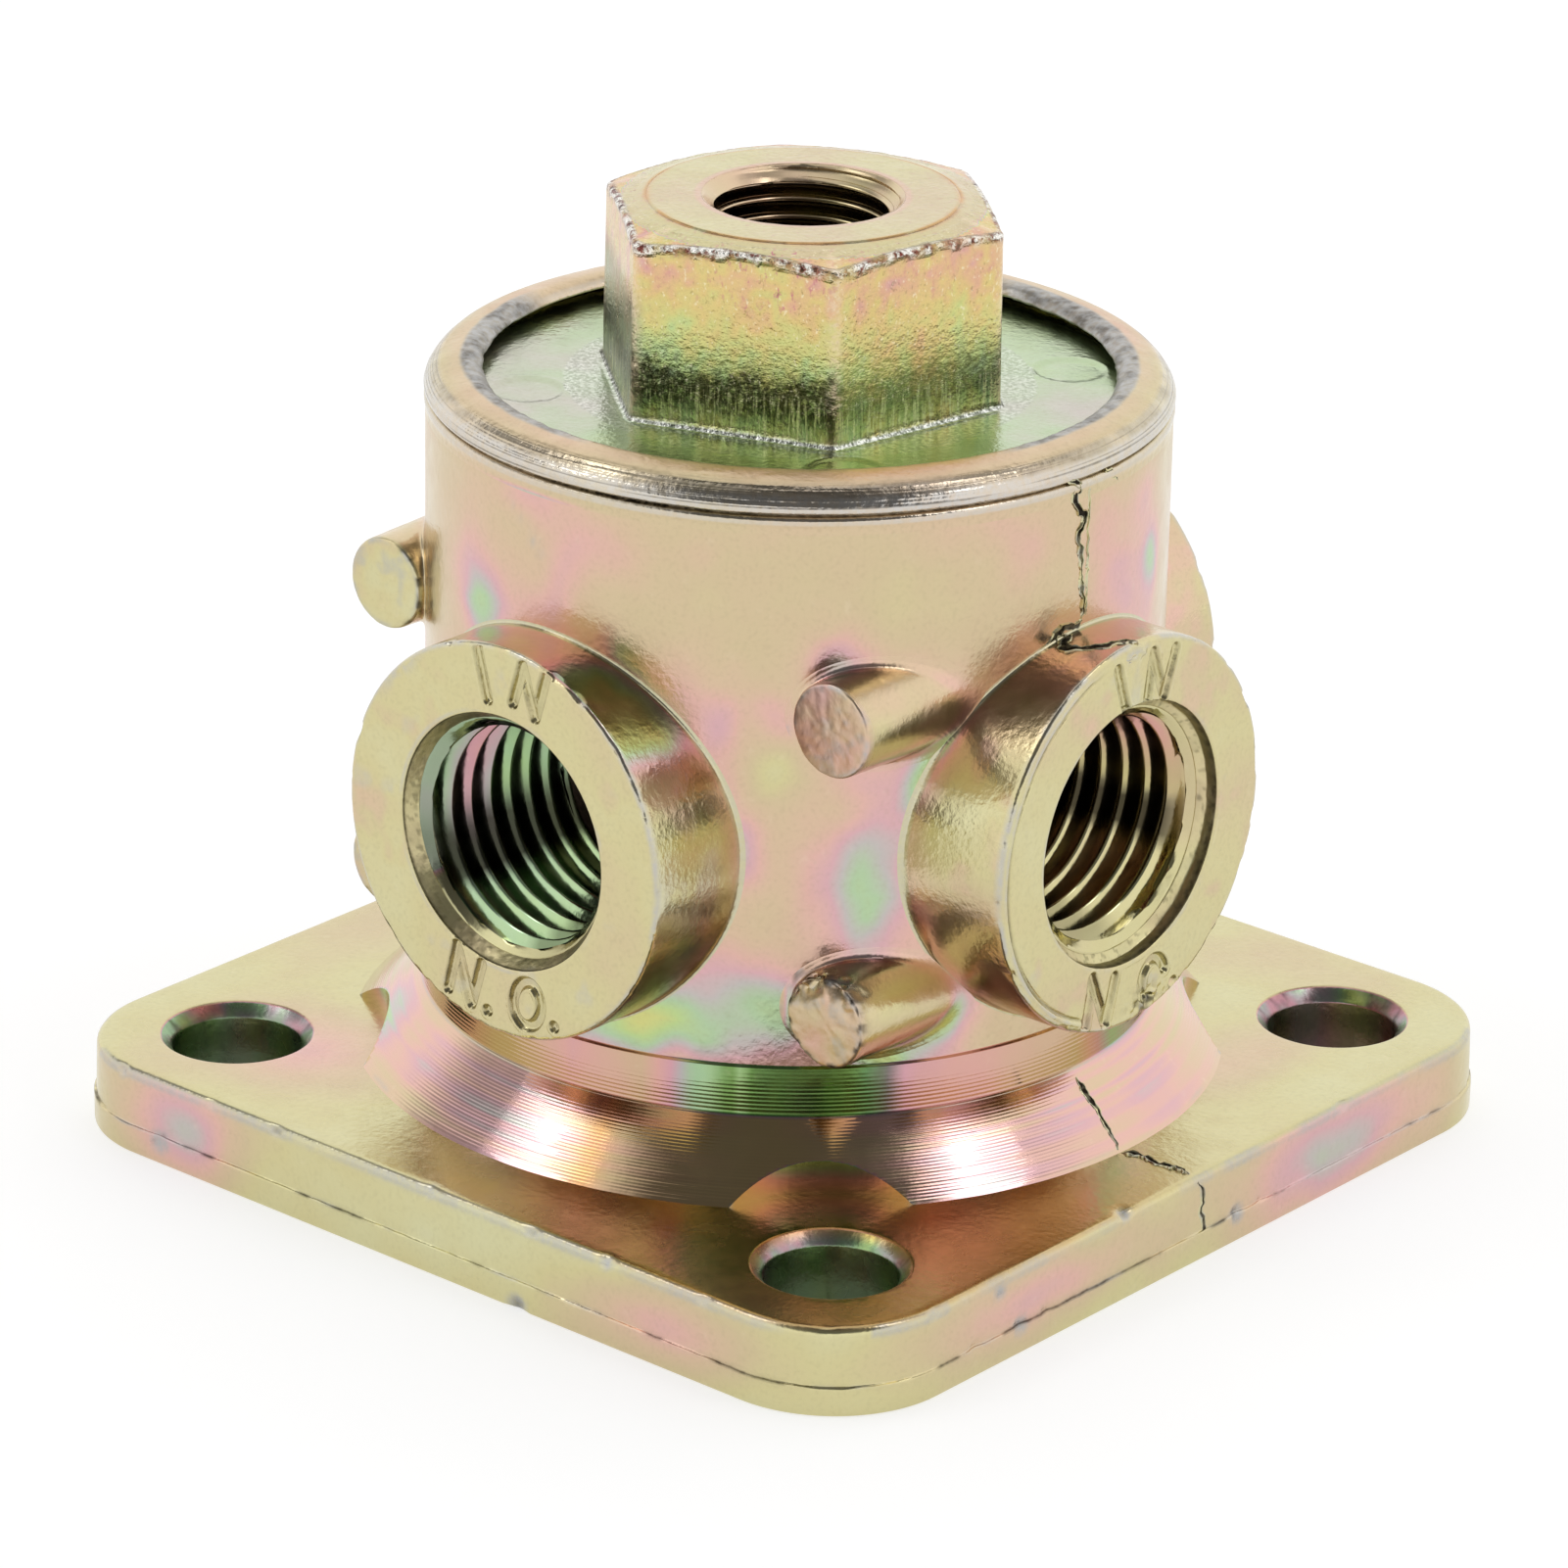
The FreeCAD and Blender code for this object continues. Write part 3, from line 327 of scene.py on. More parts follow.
def build_flange():
    pts, nrm = outline(FLANGE, CORNER, 136, 40)
    ang = np.arctan2(pts[:, 1], pts[:, 0])
    inner = np.stack([14.5 * np.cos(ang), 14.5 * np.sin(ang)], -1)
    rows = []
    draft = math.tan(math.radians(1.5))
    top_off = -(THICK - PART_Z) * draft

    def row(off, z):
        rows.append(np.concatenate([pts + nrm * off, np.full((len(pts), 1), z)], 1))

    n_top = 30
    lim = pts + nrm * (top_off - 0.42)
    for k in range(n_top + 1):
        t = (k / n_top) ** 0.8
        rows.append(np.concatenate([inner + (lim - inner) * t, np.full((len(pts), 1), THICK)], 1))
    for a in np.linspace(90, 4, 8)[1:]:
        row(top_off - 0.42 + 0.42 * math.cos(math.radians(a)), THICK - 0.42 + 0.42 * math.sin(math.radians(a)))
    for z in np.linspace(THICK - 0.45, PART_Z + 0.08, 12):
        row(-(z - PART_Z) * draft, z)
    row(0.0, PART_Z + 0.03)
    row(0.02, PART_Z - 0.005)
    row(0.09, PART_Z - 0.03)
    row(0.12, PART_Z - 0.09)
    for z in np.linspace(PART_Z - 0.16, 0.22, 7):
        row(0.12, z)
    for a in (15, 35, 55, 75, 90):
        row(0.12 - 0.16 + 0.16 * math.cos(math.radians(a)), 0.16 - 0.16 * math.sin(math.radians(a)))
    for k in range(1, 9):
        t = k / 8
        b = pts + nrm * (-0.04)
        rows.append(np.concatenate([b + (inner - b) * t, np.zeros((len(pts), 1))], 1))
    P = np.array(rows)
    # cast skin: the flat faces and edges are a little uneven, and the edges carry nicks
    z = P[..., 2]
    out = np.maximum(np.abs(P[..., 0]), np.abs(P[..., 1]))
    top = (z > THICK - 0.6) & (out < FLANGE + 0.2)
    P[..., 2] += np.where(z > THICK - 0.001, 0.020 * fbm(P, 9.0, 3) + 0.006 * vnoise(P, 1.3, 5), 0)
    side = (z > 0.1) & (z < THICK - 0.02)
    nn = np.broadcast_to(np.concatenate([nrm, np.zeros((len(nrm), 1))], 1)[None], P.shape)
    amp = 0.012 * fbm(P, 5.0, 8) + 0.006 * vnoise(P, 0.9, 9)
    P += nn * np.where(side, amp, 0)[..., None]
    # rough parting line
    pl = gauss(z, PART_Z - 0.03, 0.10) * (0.045 * vnoise(P * [1, 1, 0], 0.55, 12) + 0.03 * vnoise(P * [1, 1, 0], 2.1, 13))
    P += nn * pl[..., None]
    # nicks: (x, y, z, radius, depth)
    nicks = [(-22, -27.7, 4.4, 0.55, 0.16), (-10.7, -27.7, 4.45, 0.5, 0.14), (0.0, -27.7, 4.5, 0.6, 0.12), (7.0, -27.7, 4.5, 0.45, 0.13),
             (12.0, -27.7, 4.45, 0.6, 0.15), (18.5, -27.7, 4.4, 0.5, 0.10), (-15.5, -27.7, 4.5, 0.4, 0.10), (6.2, -27.9, 0.25, 0.8, 0.22),
             (-19.0, -27.9, 1.3, 0.8, 0.10), (27.7, -16.0, 3.9, 0.6, 0.16), (27.5, -6.0, 4.6, 0.6, 0.16), (27.7, -21.0, 4.4, 0.5, 0.14),
             (27.8, -18.0, 1.6, 0.6, 0.16), (27.8, -14.5, 1.5, 0.7, 0.16), (27.8, -12.5, 1.6, 0.5, 0.14), (27.8, 3.0, 1.55, 0.7, 0.16),
             (27.8, 5.0, 1.6, 0.5, 0.12), (27.6, 12.0, 4.5, 0.5, 0.12), (24.8, -26.0, 4.5, 0.6, 0.10), (-27.7, 8.0, 4.5, 0.5, 0.12),
             (-27.8, -9.0, 1.6, 0.7, 0.14), (-9.0, 27.7, 4.5, 0.5, 0.12), (13.0, 27.8, 1.6, 0.7, 0.14), (2.2, -27.9, 0.9, 0.4, 0.12)]
    for x, y, zz, r, d in nicks:
        q = P - np.array([x, y, zz])
        dist = np.sqrt((q ** 2).sum(-1)) * (1 + 0.35 * vnoise(P, 0.35, 21))
        w = d * (1 - sstep(0.25 * r, r, dist))
        P -= nn * w[..., None] * 0.8
        P[..., 2] -= np.where(z > 2.6, w * 0.6, 0)
    ob = torus_grid("flange_plate", P)
    cut = []
    for sx in (-1, 1):
        for sy in (-1, 1):
            prof = [(BOLT_R + 0.02, -1.0), (BOLT_R + 0.02, 0.0), (BOLT_R, 0.4), (BOLT_R, THICK - BOLT_CH - 0.10), (BOLT_R + 0.03, THICK - BOLT_CH + 0.0),
                    (BOLT_R + 0.14, THICK - BOLT_CH + 0.16), (BOLT_R + BOLT_CH - 0.10, THICK - 0.10), (BOLT_R + BOLT_CH + 0.02, THICK - 0.012), (BOLT_R + BOLT_CH + 0.30, THICK + 0.06),
                    (BOLT_R + BOLT_CH + 0.30, THICK + 1.0)]
            cut.append(capped(lathe(prof, 96, (sx * BOLT, sy * BOLT, 0))))
    V, F = merge(cut)
    return boolean(ob, make("cut_bolts", V, F, flip=False), sharp=38)


# ---------------------------------------------------------------- cone and turned band
def build_cone():
    slope = (23.0 - 19.36) / 3.4
    nz = math.hypot(1, slope)
    pts = [(17.8, 4.2), (23.0 + 0.35 * slope, 4.35)]
    rows = []
    foot = np.array([23.0, 4.70])
    top = np.array([19.36, 8.10])
    L = np.linalg.norm(top - foot)
    nrm = np.array([1.0, slope]) / nz
    rng = np.random.default_rng(11)
    cut_depth = 0.0045 + 0.0035 * rng.random(64)
    for k in range(110):
        t = k / 109
        s = t * L
        p = foot + (top - foot) * t
        ph = s / 0.185
        g = 0.5 - 0.5 * math.cos(2 * PI * ph)
        d = cut_depth[int(ph) % 64] * g * float(sstep(0.0, 0.4, s) * (1 - sstep(L - 0.25, L - 0.05, s))) * (1.25 - 0.13 * s)
        rows.append(p - nrm * d)
    rows[0] = rows[0] + np.array([0.0, 0.0])
    # crease at the top of the cone, then the turned band
    rows += [np.array(k) for k in [(19.345, 8.125), (19.30, 8.155), (19.27, 8.19), (19.30, 8.23)]]
    zs = np.linspace(8.27, 10.74, 54)
    for z in zs:
        ph = (z - 8.27) / 0.22
        g = 0.5 - 0.5 * math.cos(2 * PI * ph)
        d = cut_depth[(int(ph) * 7 + 3) % 64] * 1.5 * g * max(1.15 - 0.48 * (z - 8.27), 0.1)
        rows.append(np.array([19.33 - 0.05 * (z - 8.27) / 2.2 - d, z]))
    rows += [np.array(k) for k in [(19.245, 10.78), (19.19, 10.82), (19.15, 10.88), (19.10, 11.05), (17.8, 11.05)]]
    prof = np.vstack([pts, rows])
    nu = 330
    P = lathe(prof, nu)
    # grooves wander a little and the foot is uneven
    ang = np.arange(nu) * 2 * PI / nu
    ring = np.stack([np.cos(ang), np.sin(ang), np.zeros(nu)], -1)
    z = P[..., 2]
    P += ring[None] * (0.006 * fbm(P, 9.0, 31) * sstep(4.6, 5.2, z))[..., None]
    P += ring[None] * (0.030 * fbm(P * [1, 1, 0.3], 3.0, 35) * (1 - sstep(4.75, 5.0, z)) * (z > 4.5))[..., None]
    ob = torus_grid("cone_and_band", P)
    V, F = merge([capped(lathe([(HEAD_R, 4.0), (HEAD_R, 12.0)], 160, (sx * BOLT, sy * BOLT, 0))) for sx in (-1, 1) for sy in (-1, 1)])
    return boolean(ob, make("cut_heads", V, F, flip=False), sharp=30)


# ---------------------------------------------------------------- barrel
def build_barrel():
    pts = [(17.9, 10.3)] + [(19.14, 10.3)] + [tuple(k) for k in fine([(BARREL, 10.45), (BARREL, 39.25)], 0.5)] + [(19.10, 39.5), (17.9, 39.5)]
    P = lathe(pts, 400)
    ob = torus_grid("barrel_wall", P)
    V, F = merge([capped(lathe([(6.78, 12.0), (6.78, 24.0)], 96, (0, 0, PORT_Z), e1, (0, 0, 1), ax)) for ax, e1 in PORTS.values()]
                 + [capped(lathe([(0.60, 15.0), (0.60, 22.0)], 32, (0, 0, 31.2), (0, 1, 0), (0, 0, 1), (-1, 0, 0)))])
    return boolean(ob, make("cut_bores", V, F, flip=False), sharp=30)


def build_core():
    """the casting's inside, as the CAD has it, within the outer shells"""
    src = nodes["valve_body"]
    ob = bpy.data.objects.new("body_core", src.data.copy())
    bpy.context.scene.collection.objects.link(ob)
    prof = [(0.01, -0.5), (14.52, -0.5), (14.52, 4.45), (18.85, 4.45), (18.85, 39.3), (0.01, 39.3)]
    V, F = merge([capped(lathe(prof, 160))])
    return boolean(ob, make("cut_core", V, F, flip=False), "INTERSECT", sharp=30)


# ---------------------------------------------------------------- rolled rim
def build_rim():
    outer = spline([(19.12, 38.9), (19.15, 39.30), (19.16, 39.60), (19.21, 39.82), (19.20, 40.04), (19.08, 40.17)], 0.07)
    crease = np.array([(19.00, 40.205), (18.92, 40.25), (19.00, 40.295)])
    roll = np.vstack([spline([(19.13, 40.34), (19.21, 40.45), (19.22, 40.62), (19.16, 40.82), (19.02, 41.06), (18.80, 41.34), (18.52, 41.58), (18.30, 41.70)], 0.042),
                      spline([(18.22, 41.735), (17.80, 41.84), (17.35, 41.91), (16.95, 41.92), (16.60, 41.80), (16.30, 41.57), (16.18, 41.40)], 0.10)])
    under = fine([(16.30, 41.28), (16.75, 41.12), (17.25, 40.98), (17.62, 40.82), (17.66, 38.6)], 0.5)
    prof = np.vstack([outer, crease, roll, under])
    nu = 480
    P = lathe(prof, nu)
    ang = np.arange(nu) * 2 * PI / nu
    az = np.degrees(ang)
    ring = np.stack([np.cos(ang), np.sin(ang), np.zeros(nu)], -1)
    r = np.broadcast_to(prof[:, 0, None], P.shape[:2])
    z = np.broadcast_to(prof[:, 1, None], P.shape[:2])
    torn = np.maximum(1 - sstep(38, 46, np.abs(adiff(az, -131))), 1 - sstep(48, 56, np.abs(adiff(az, 40))))
    torn = np.maximum(torn, 0.15)[None] * np.ones(P.shape[:2])
    Q = P * [1, 1, 0.6]
    lip = sstep(17.6, 16.7, r) * (z > 41.0)
    P += ring[None] * (lip * (0.09 * fbm(Q, 1.6, 41) + 0.05 * vnoise(Q, 0.45, 44)) * torn)[..., None]
    P[..., 2] += lip * (0.045 * fbm(P, 1.1, 47) + 0.025 * vnoise(P, 0.30, 48)) * torn
    # spinning marks on the shoulder and long waves on the crease
    sh = sstep(40.30, 40.42, z) * (1 - sstep(41.58, 41.72, z)) * (r > 18.3)
    run = (z - 40.3) + (19.2 - r)
    line = vnoise(np.stack([az[None] * 0.030 + 0 * z, run / 0.125, 0 * z], -1), 1.0, 51) + 0.5 * vnoise(np.stack([az[None] * 0.06 + 0 * z, run / 0.085, 0 * z], -1), 1.0, 52)
    P += ring[None] * (sh * 0.013 * line)[..., None]
    P[..., 2] += sh * 0.010 * line
    P[..., 2] += np.where((z > 41.4) & (r < 18.4), 0.012 * fbm(P * [1, 1, 0], 1.4, 58) + 0.010 * vnoise(P * [1, 1, 0], 0.5, 59), 0)
    cr = gauss(z, 40.25, 0.06) * (r > 18.5)
    P += ring[None] * (cr * 0.05 * fbm(P * [1, 1, 0], 2.0, 53))[..., None]
    for na, nz, ns, nd in ((-88, 40.45, 1.1, 0.07), (-63, 40.5, 0.8, 0.05), (-24, 40.6, 1.0, 0.06), (-9, 40.5, 1.3, 0.08), (-112, 40.6, 1.4, 0.07), (-36, 41.0, 0.6, 0.05), (14, 40.6, 1.6, 0.08), (70, 40.6, 1.5, 0.07), (150, 40.5, 1.5, 0.07)):
        P -= ring[None] * (nd * np.exp(-(adiff(az[None], na) / ns) ** 2 - ((z - nz) / 0.12) ** 2) * (r > 18.3))[..., None]
    P[..., 2] += np.where(r > 18.2, gauss(z, 40.25, 0.35), 0) * 0.035 * fbm(P * [1, 1, 0], 8.0, 55)
    return torus_grid("rolled_rim", P)


# ---------------------------------------------------------------- port bosses
def build_boss(side):
    axd, e1 = PORTS[side]
    axd, e1, e2 = np.array(axd, float), np.array(e1, float), np.array([0, 0, 1.0])
    lines = letter_lines(side)
    if lines:
        fine_arcs = [(62, 108), (-122, -58)]
        phi = []
        a = -180.0
        while a < 180.0 - 1e-6:
            phi.append(a)
            dense = any(lo <= a < hi for lo, hi in fine_arcs)
            near = any(lo - 6 <= a < hi + 6 for lo, hi in fine_arcs)
            a += 0.34 if dense else (0.7 if near else 1.5)
        phi = np.radians(phi)
    else:
        phi = np.radians(np.arange(-180, 180, 1.5))
    c, s = np.cos(phi), np.sin(phi)
    n = len(phi)
    mouth = 6.76 if side != "right" else 7.02
    rows = []   # each row: (r, w) arrays over phi

    def row(r, w, kind=0):
        rows.append((np.broadcast_to(np.asarray(r, float), (n,)), np.broadcast_to(np.asarray(w, float), (n,)), kind))

    row(6.84, 16.6)
    row(6.84, 19.0)
    row(6.84, FACE - 1.40)
    if side == "right":
        row(6.46, FACE - 1.00)
        for k in range(6):
            row(6.46 + 0.455 * k / 5, FACE - 0.96 + 0.30 * k / 5, 6)
        for k in range(7):
            row(6.93 + 0.06 * k / 6, FACE - 0.63 + 0.52 * k / 6, 5)
        row(mouth - 0.02, FACE - 0.05)
    else:
        row(6.27, FACE - 0.84)
        for k in range(12):
            row(6.28 + 0.455 * k / 11, FACE - 0.80 + 0.71 * k / 11, 5)
        row(mouth - 0.02, FACE - 0.05)
    row(mouth, FACE - 0.012, 1)
    lo, hi = mouth + 0.05, BOSS_R - 0.26
    m = 50 if lines else 14
    for k in range(m + 1):
        row(lo + (hi - lo) * k / m, FACE, 1)
    for a in (70, 50, 30, 12, 0):
        t = math.radians(a)
        row(BOSS_R - 0.24 + 0.24 * math.cos(t), FACE - 0.24 + 0.24 * math.sin(t), 2)
    f = 0.17
    u0 = BOSS_R * c
    w0 = barrel_w(u0)                       # where the side line meets the barrel
    start = w0 + f
    m = 22
    for k in range(1, m + 1):
        row(BOSS_R, (FACE - 0.24) + (start - (FACE - 0.24)) * k / m, 3)
    r2 = BOSS_R + f
    w2 = barrel_w(np.clip(r2 * c, -19.0, 19.0)) + 0.004
    for k in range(1, 9):
        t = k / 8
        r = (1 - t) ** 2 * BOSS_R + 2 * t * (1 - t) * (BOSS_R) + t * t * r2
        w = (1 - t) ** 2 * start + 2 * t * (1 - t) * w0 + t * t * w2
        row(r, w, 4)
    row(r2 + 0.18, barrel_w(np.clip((r2 + 0.18) * c, -19.0, 19.0)) - 0.05)
    row(r2 + 0.3, barrel_w(np.clip((r2 + 0.3) * c, -19.0, 19.0)) - 0.5)
    row(9.6, np.maximum(barrel_w(np.clip(9.6 * c, -19, 19)) - 1.6, 14.6))
    R = np.array([k[0] for k in rows])
    Wd = np.array([k[1] for k in rows])
    kind = np.array([k[2] for k in rows])[:, None] * np.ones(R.shape)
    U, Vv = R * c, R * s
    seed = {"front": 60, "right": 70, "back": 80}[side]
    Q = np.stack([U, Vv, Wd], -1)
    face = (kind == 1)
    # the face is cast flat, with soft unevenness and the recessed letters
    Wd = Wd + np.where(face, 0.010 * fbm(Q, 4.0, seed) + 0.004 * vnoise(Q, 0.8, seed + 1), 0)
    if lines:
        d = stroke_distance(U, Vv, lines)
        wob = 0.012 * vnoise(Q, 0.35, seed + 2)
        Wd = Wd - np.where(face, 0.28 * (1 - sstep(0.17, 0.35, d + wob)), 0)
        Wd = Wd + np.where(face, 0.034 * gauss(d + wob, 0.42, 0.07), 0)
    side_m = (kind == 3) | (kind == 2)
    dr = np.where(side_m, 0.006 * fbm(Q, 5.0, seed + 4) + 0.0012 * vnoise(Q, 0.6, seed + 5), 0)
    # drawing marks across the side that faces the other port
    ang_ = np.degrees(np.arctan2(Vv, U))
    if side != "back":
        mid_a = 14.0 if side == "front" else 176.0
        dr = dr + np.where(side_m, 0.0035 * vnoise(np.stack([Wd / 0.30, ang_ / 9.0, 0 * U], -1), 1.0, seed + 9) * gauss(adiff(ang_, mid_a), 0, 17), 0)
    wall = (kind == 5)
    dr = dr + np.where(wall, 0.022 * fbm(Q, 0.9, seed + 10) + 0.016 * vnoise(Q, 0.30, seed + 11), 0)
    dr = dr + np.where(kind == 6, 0.008 * vnoise(Q, 0.5, seed + 12), 0)
    edge = (kind == 2)
    chip = np.where(edge, 0.07 * np.maximum(vnoise(Q, 0.7, seed + 6) - 0.25, 0) * 2 + 0.012 * np.maximum(vnoise(Q, 0.25, seed + 7), 0), 0)
    # a small burr stands round the mouth
    Rr = np.hypot(U, Vv)
    Wd = Wd + np.where(face, gauss(Rr, mouth + 0.16, 0.10) * (0.018 + 0.022 * vnoise(Q, 0.45, seed + 13)), 0)
    if side == "right":
        # the C's lower part and the dot are run together by a rough patch, and the top of the face carries a burr
        rag = gauss(U, 1.8, 1.15) * gauss(Vv, 12.25 - PORT_Z, 0.70)
        Wd = Wd + np.where(face, rag * (0.32 * vnoise(Q, 0.46, 77) + 0.18 * vnoise(Q, 0.25, 78)), 0)
        burr = gauss(U, 0.0, 1.1) * gauss(Vv, 31.6 - PORT_Z, 0.42)
        Wd = Wd + np.where(face | edge, burr * (0.10 + 0.12 * vnoise(Q, 0.35, 79)), 0)
        up = gauss(U, 2.3, 0.8) * gauss(Vv, 31.0 - PORT_Z, 0.35)
        Wd = Wd + np.where(face, up * 0.08 * vnoise(Q, 0.42, 82), 0)
        R0_ = np.hypot(U, Vv)
        leftm = sstep(-2.5, -5.0, U) * (kind == 1)
        Wd = Wd + leftm * (0.085 * gauss(R0_, 10.00, 0.09) - 0.17 * gauss(R0_, 9.76, 0.09)) * (0.8 + 0.4 * vnoise(Q, 1.2, 84))
        lowl = gauss(U, -1.4, 1.9) * gauss(Vv, 11.75 - PORT_Z, 0.22)
        Wd = Wd + np.where(face | edge, lowl * (0.08 + 0.05 * vnoise(Q, 0.35, 83)), 0)
    R2 = R + dr - chip
    P = (e1 * (R2 * c)[..., None] + e2 * (R2 * s)[..., None] + axd * (Wd - chip)[..., None]) + np.array([0, 0, PORT_Z])
    ob = torus_grid("boss_" + side, P)
    if lines:
        d = stroke_distance((R * c), (R * s), lines)
        # painted shade in the recessed letters and on their walls
        ink = np.where(face, np.maximum(0.45 * (1 - sstep(0.10, 0.30, d)), gauss(d, 0.30, 0.075)), 0).ravel()
        attribute(ob, "ink", ink)
    return ob


# ---------------------------------------------------------------- threads
def build_thread(name, pitch, crest, height, depth, nseg, origin, e1, e2, axd, cone, phase=0.0, taper=1 / 32.0, floor_r=7.4, start=0.0):
    """inside surface of a right-hand taper thread, cut back at the mouth by cone(depth), closed to a thin sleeve"""
    rowsf = [(-0.05, -0.02), (0.05, -0.02), (0.12, 0.07), (0.23, 0.36), (0.34, 0.68), (0.43, 0.93), (0.465, 0.99), (0.495, 1.015), (0.525, 0.99), (0.56, 0.93),
             (0.605, 0.81), (0.65, 0.68), (0.71, 0.52), (0.77, 0.36), (0.83, 0.20), (0.88, 0.07), (0.92, 0.0)]
    nr = len(rowsf)
    turns = int(math.ceil(depth / pitch)) + 4
    K = turns * nseg
    k = np.arange(K + nseg + 1)
    fr = np.array([q[0] for q in rowsf])
    hh = np.array([q[1] for q in rowsf])
    d = (k[:, None] / nseg + fr[None] - 2.7 + phase) * pitch
    th = -2 * PI * k / nseg
    r = (crest + height) - d * taper - height * hh[None] * np.ones_like(d)
    tear = np.stack([np.cos(th)[:, None] * r, np.sin(th)[:, None] * r, d], -1)
    r = r - 0.010 * vnoise(tear, 0.6, 91) * (hh[None] > 0.9) - 0.006 * vnoise(tear, 0.25, 92)
    inside = d >= start
    # the first turn runs out into the chamfer
    run = start + 0.34
    most = np.where(d < run, cone(np.minimum(d, run)), cone(np.minimum(d, run)) + 1.1 * (d - run)) if start else 9.0
    r = np.where(inside, np.maximum(np.minimum(r, most), cone(d)), cone(start + np.zeros_like(d)) + np.minimum(start - d, 1.0) * 0.30)
    dd = np.where(inside, d, start if start else 0.018)
    deep = d > depth
    r = np.where(deep, np.minimum(crest + height - depth * taper + (d - depth) * 0.25, floor_r), r)
    dd = np.where(deep, depth, dd)
    e1, e2, axd, o = [np.asarray(q, float) for q in (e1, e2, axd, origin)]
    P = o + r[..., None] * (np.cos(th)[:, None, None] * e1 + np.sin(th)[:, None, None] * e2) - dd[..., None] * axd
    kk = np.arange(K)
    fs = []
    for j in range(nr):
        a = kk * nr + j
        b = (kk + 1) * nr + j
        if j < nr - 1:
            fs.append(np.stack([a, b, b + 1, a + 1], -1))
        else:
            fs.append(np.stack([a, b, (kk + 1 + nseg) * nr, (kk + nseg) * nr], -1))
    F = np.concatenate(fs)
    turn = fr[None] * np.ones_like(d)
    ledge = 1 - sstep(start + 0.30, start + 0.95, d) if start else ((d < 1.0) & (r <= cone(d) + 1e-6)) * 1.0
    # leave out the parts of the strip that lie wholly past either end
    flat = d.ravel()
    keep = (flat[F].max(1) > start - 0.9) & (flat[F].min(1) < depth + 0.9)
    F = F[keep]
    Pf = P.reshape(-1, 3)
    ob = make(name, Pf, [F], flip=False)
    used = np.unique(F.ravel())
    attribute(ob, "turn", turn.ravel()[used])
    attribute(ob, "ledge", ledge.ravel()[used])
    # the wall's thickness goes outwards, into the casting
    n = normals(ob)
    v = verts(ob)
    rad = (v - o) - ((v - o) @ axd)[:, None] * axd
    inward = np.einsum("ij,ij->i", n, rad).mean() < 0
    m = ob.modifiers.new("wall", "SOLIDIFY")
    m.thickness, m.offset, m.use_even_offset = 0.30 * MM, (-1 if inward else 1), False
    me = evaluated(ob)
    old = ob.data
    ob.modifiers.clear()
    ob.data = me
    bpy.data.meshes.remove(old)
    me.shade_smooth()
    me.set_sharp_from_angle(angle=math.radians(35))
    return ob


def cone_front(d):
    return np.where(d < 1.22, 6.25 - 0.49 * (d - 0.78) / 0.42, 0.0)


def cone_right(d):
    return np.where(d < 1.50, 6.42 - 0.66 * (d - 0.94) / 0.54, 0.0)


def cone_pilot(d):
    return np.where(d < 0.75, 5.16 - (5.16 - 4.38) * np.maximum(d, 0) / 0.72, 0.0)


